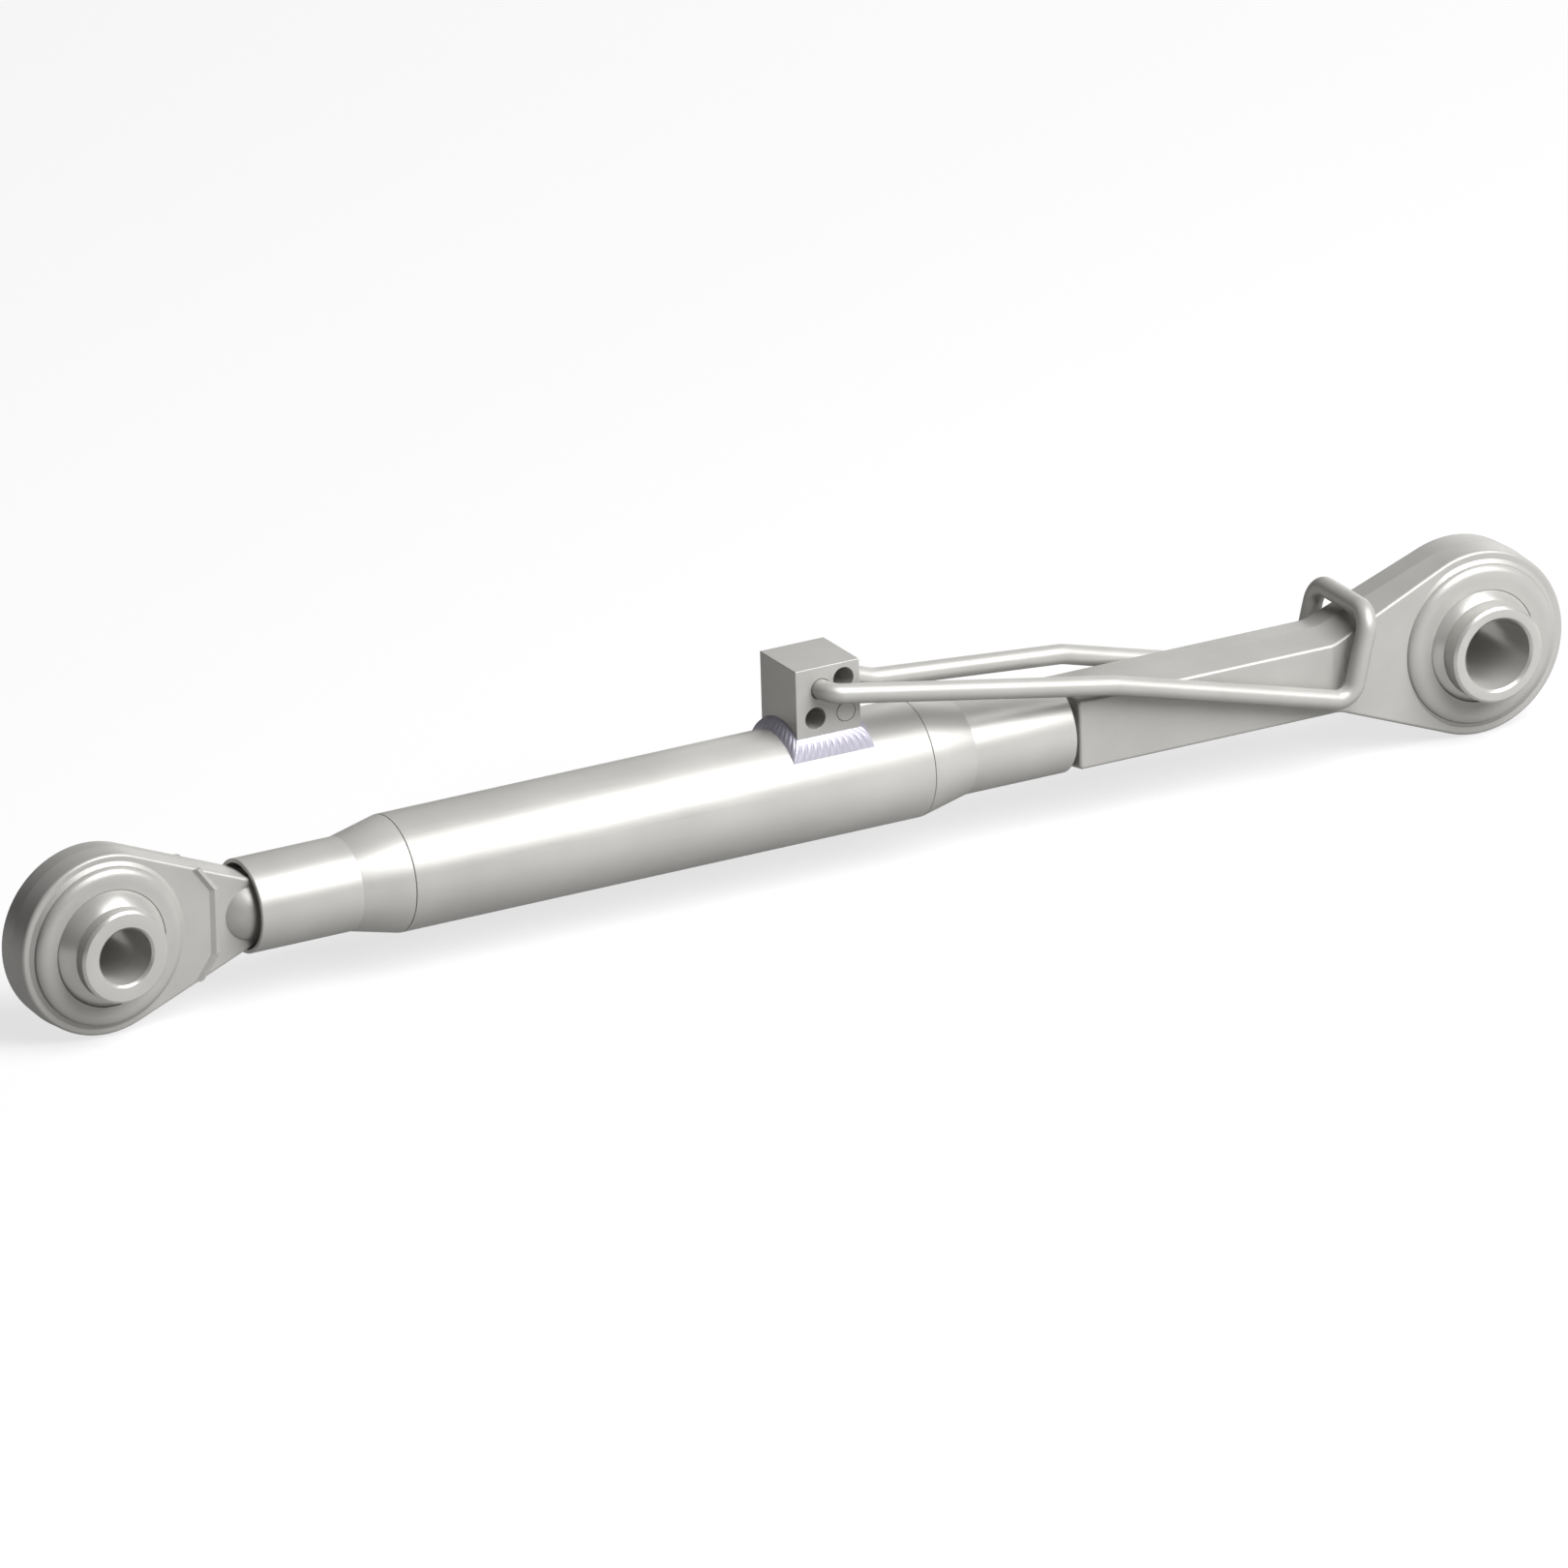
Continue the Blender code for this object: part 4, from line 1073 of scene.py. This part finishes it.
class TOPLINK_OT_spindles(bpy.types.Operator):
    """Threaded spindles, and a plain finish on what stays hidden in the barrel"""

    bl_idname = "toplink.spindles"
    bl_label = "Spindles"

    def execute(self, context):
        look = context.scene.top_link_finish
        pitch = context.scene.top_link_detail.pitch
        bright = look.metallic + BARE_SHINE
        hidden = steel("collar_steel", look.forged, look.metallic, "collar")
        for word, side, hand in (("left", 1, -1), ("right", -1, 1)):
            finish = turned_steel(word + "_thread_steel", look.machined, bright, "thread", "X", (0, 0, 0))
            near, far = (box_low, box_high) if side > 0 else (box_high, box_low)
            root, tip = near(word + "_spindle")[0], far(word + "_spindle")[0]
            shoulder = near(word + "_stop_collar")[0] - side * SEAT_GAP
            rod = threaded_spindle(word + "_threaded_spindle", root, shoulder, side, pitch, hand, finish)
            seat = box_high(word + "_stop_collar")[2] * COLLAR_SEAT_SHARE
            length = abs(tip - shoulder)
            section = round_corners([(-NECK_TUCK, 0.0), (-NECK_TUCK, seat), (length, seat), (length, 0.0)],
                                    [0, 0, NECK_EDGE, 0], EDGE_STEPS, closed=False)
            neck = turned_solid(word + "_spindle_neck", section * (side, 1), "X", (shoulder, 0, 0), finish,
                                ROD_SIDES)
            for piece in (rod, neck):
                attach(piece, word + "_eye_body")
            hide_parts(word + "_spindle")
            for part in ("_stop_collar", "_stop_pin"):
                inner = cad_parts[word + part]
                inner.data.materials.clear()
                inner.data.materials.append(hidden)
        return {"FINISHED"}


# Stage

FLOOR_REACH = 30.0
VIEW_REACH = 100.0

# Lamps: place from the object's middle, and the side of the square
KEY_LAMP = ((1.1, -1.85, 2.2), 2.6)
FILL_LAMP = ((1.7, 1.7, 0.35), 1.4)

# Directions to the right and upwards in the picture, which is a nearly parallel view
VIEW_RIGHT = (0.8742, -0.4847, -0.0280)
VIEW_UP = (0.1941, 0.2966, 0.9352)

PAPER_ROUGHNESS = 0.9
PAPER_SEEN = 0.95


def area_lamp(name, lamp, aim, power):
    """Square soft lamp that faces a point."""
    offset, size = lamp
    data = bpy.data.lights.new(name, "AREA")
    data.shape = "SQUARE"
    data.size = size
    data.energy = power
    piece = bpy.data.objects.new(name, data)
    bpy.context.scene.collection.objects.link(piece)
    piece.location = aim + Vector(offset)
    piece.rotation_mode = "QUATERNION"
    piece.rotation_quaternion = (-Vector(offset)).to_track_quat("-Z", "Y")


def white_paper(colour, share):
    """Floor that bounces light as a grey sheet, while camera, glossy and transmitted rays see near white.

    For those rays a share of plain white is mixed with the lit sheet, which keeps the shadow.
    """
    finish = bpy.data.materials.new("white_paper")
    finish.use_nodes = True
    tree = finish.node_tree
    sheet = tree.nodes["Principled BSDF"]
    sheet.inputs["Base Color"].default_value = (*colour, 1)
    sheet.inputs["Roughness"].default_value = PAPER_ROUGHNESS
    sheet.inputs["Specular IOR Level"].default_value = 0.0
    lit = add_node(tree, "BsdfDiffuse", {"Color": (*[PAPER_SEEN] * 3, 1)})
    white = add_node(tree, "Emission")
    seen = add_node(tree, "MixShader", {"Fac": share}, {1: lit.outputs["BSDF"], 2: white.outputs["Emission"]})
    rays = add_node(tree, "LightPath")
    ray = rays.outputs["Is Camera Ray"]
    for other in ("Is Glossy Ray", "Is Transmission Ray"):
        ray = add_node(tree, "Math", {}, {0: ray, 1: rays.outputs[other]}, "MAXIMUM").outputs["Value"]
    links = {"Fac": ray, 1: sheet.outputs["BSDF"], 2: seen.outputs["Shader"]}
    choice = add_node(tree, "MixShader", {}, links)
    tree.links.new(choice.outputs["Shader"], tree.nodes["Material Output"].inputs["Surface"])
    return finish


class TOPLINK_OT_stage(bpy.types.Operator):
    """Pale floor, soft lamps and the camera"""

    bl_idname = "toplink.stage"
    bl_label = "Stage"

    def execute(self, context):
        scene = context.scene
        stage = scene.top_link_stage
        middle = (CAD_BOX[0] + CAD_BOX[1]) / 2
        corners = np.array([(-1, -1, 0), (1, -1, 0), (1, 1, 0), (-1, 1, 0)]) * FLOOR_REACH
        corners += (middle.x, middle.y, CAD_BOX[0].z)
        add_piece("floor", corners, [np.arange(4)[None]], white_paper(stage.floor, stage.paper))

        world = bpy.data.worlds.new("studio")
        world.use_nodes = True
        sky = world.node_tree.nodes["Background"].inputs
        sky["Color"].default_value = (1, 1, 1, 1)
        sky["Strength"].default_value = stage.world
        scene.world = world

        area_lamp("key", KEY_LAMP, middle, stage.key)
        area_lamp("fill", FILL_LAMP, middle, stage.fill)

        right = Vector(VIEW_RIGHT).normalized()
        up = Vector(VIEW_UP)
        up = (up - right * up.dot(right)).normalized()
        back = right.cross(up)
        data = bpy.data.cameras.new("camera")
        data.lens = stage.lens
        data.clip_end = VIEW_REACH
        camera = bpy.data.objects.new("camera", data)
        scene.collection.objects.link(camera)
        distance = stage.width * stage.lens / data.sensor_width
        turn = Matrix((right, up, back)).transposed().to_4x4()
        camera.matrix_world = Matrix.Translation(Vector(stage.aim) + back * distance) @ turn
        scene.camera = camera
        scene.view_settings.view_transform = "Standard"
        return {"FINISHED"}


class TOPLINK_PT_panel(bpy.types.Panel):
    """Lists the steps in the sidebar"""

    bl_idname = "TOPLINK_PT_panel"
    bl_label = "Top Link"
    bl_space_type = "VIEW_3D"
    bl_region_type = "UI"
    bl_category = "Top Link"

    def draw(self, context):
        for operator in STEPS:
            self.layout.operator(operator.bl_idname)


STEPS = (
    TOPLINK_OT_barrel, TOPLINK_OT_bracket, TOPLINK_OT_bail, TOPLINK_OT_left_eye, TOPLINK_OT_right_eye,
    TOPLINK_OT_balls, TOPLINK_OT_spindles, TOPLINK_OT_stage,
)
SETTINGS = {
    "top_link_finish": TopLinkFinish, "top_link_detail": TopLinkDetail, "top_link_stage": TopLinkStage,
}
CLASSES = (*SETTINGS.values(), *STEPS, TOPLINK_PT_panel)


def register():
    """Add the classes and the scene's settings."""
    for item in CLASSES:
        bpy.utils.register_class(item)
    for name, group in SETTINGS.items():
        setattr(bpy.types.Scene, name, PointerProperty(type=group))


def unregister():
    """Take them away again."""
    for name in SETTINGS:
        delattr(bpy.types.Scene, name)
    for item in reversed(CLASSES):
        bpy.utils.unregister_class(item)


def main():
    """Make every piece in order."""
    register()
    for step in STEPS:
        getattr(bpy.ops.toplink, step.bl_idname.removeprefix("toplink."))()


if __name__ == "__main__":
    main()
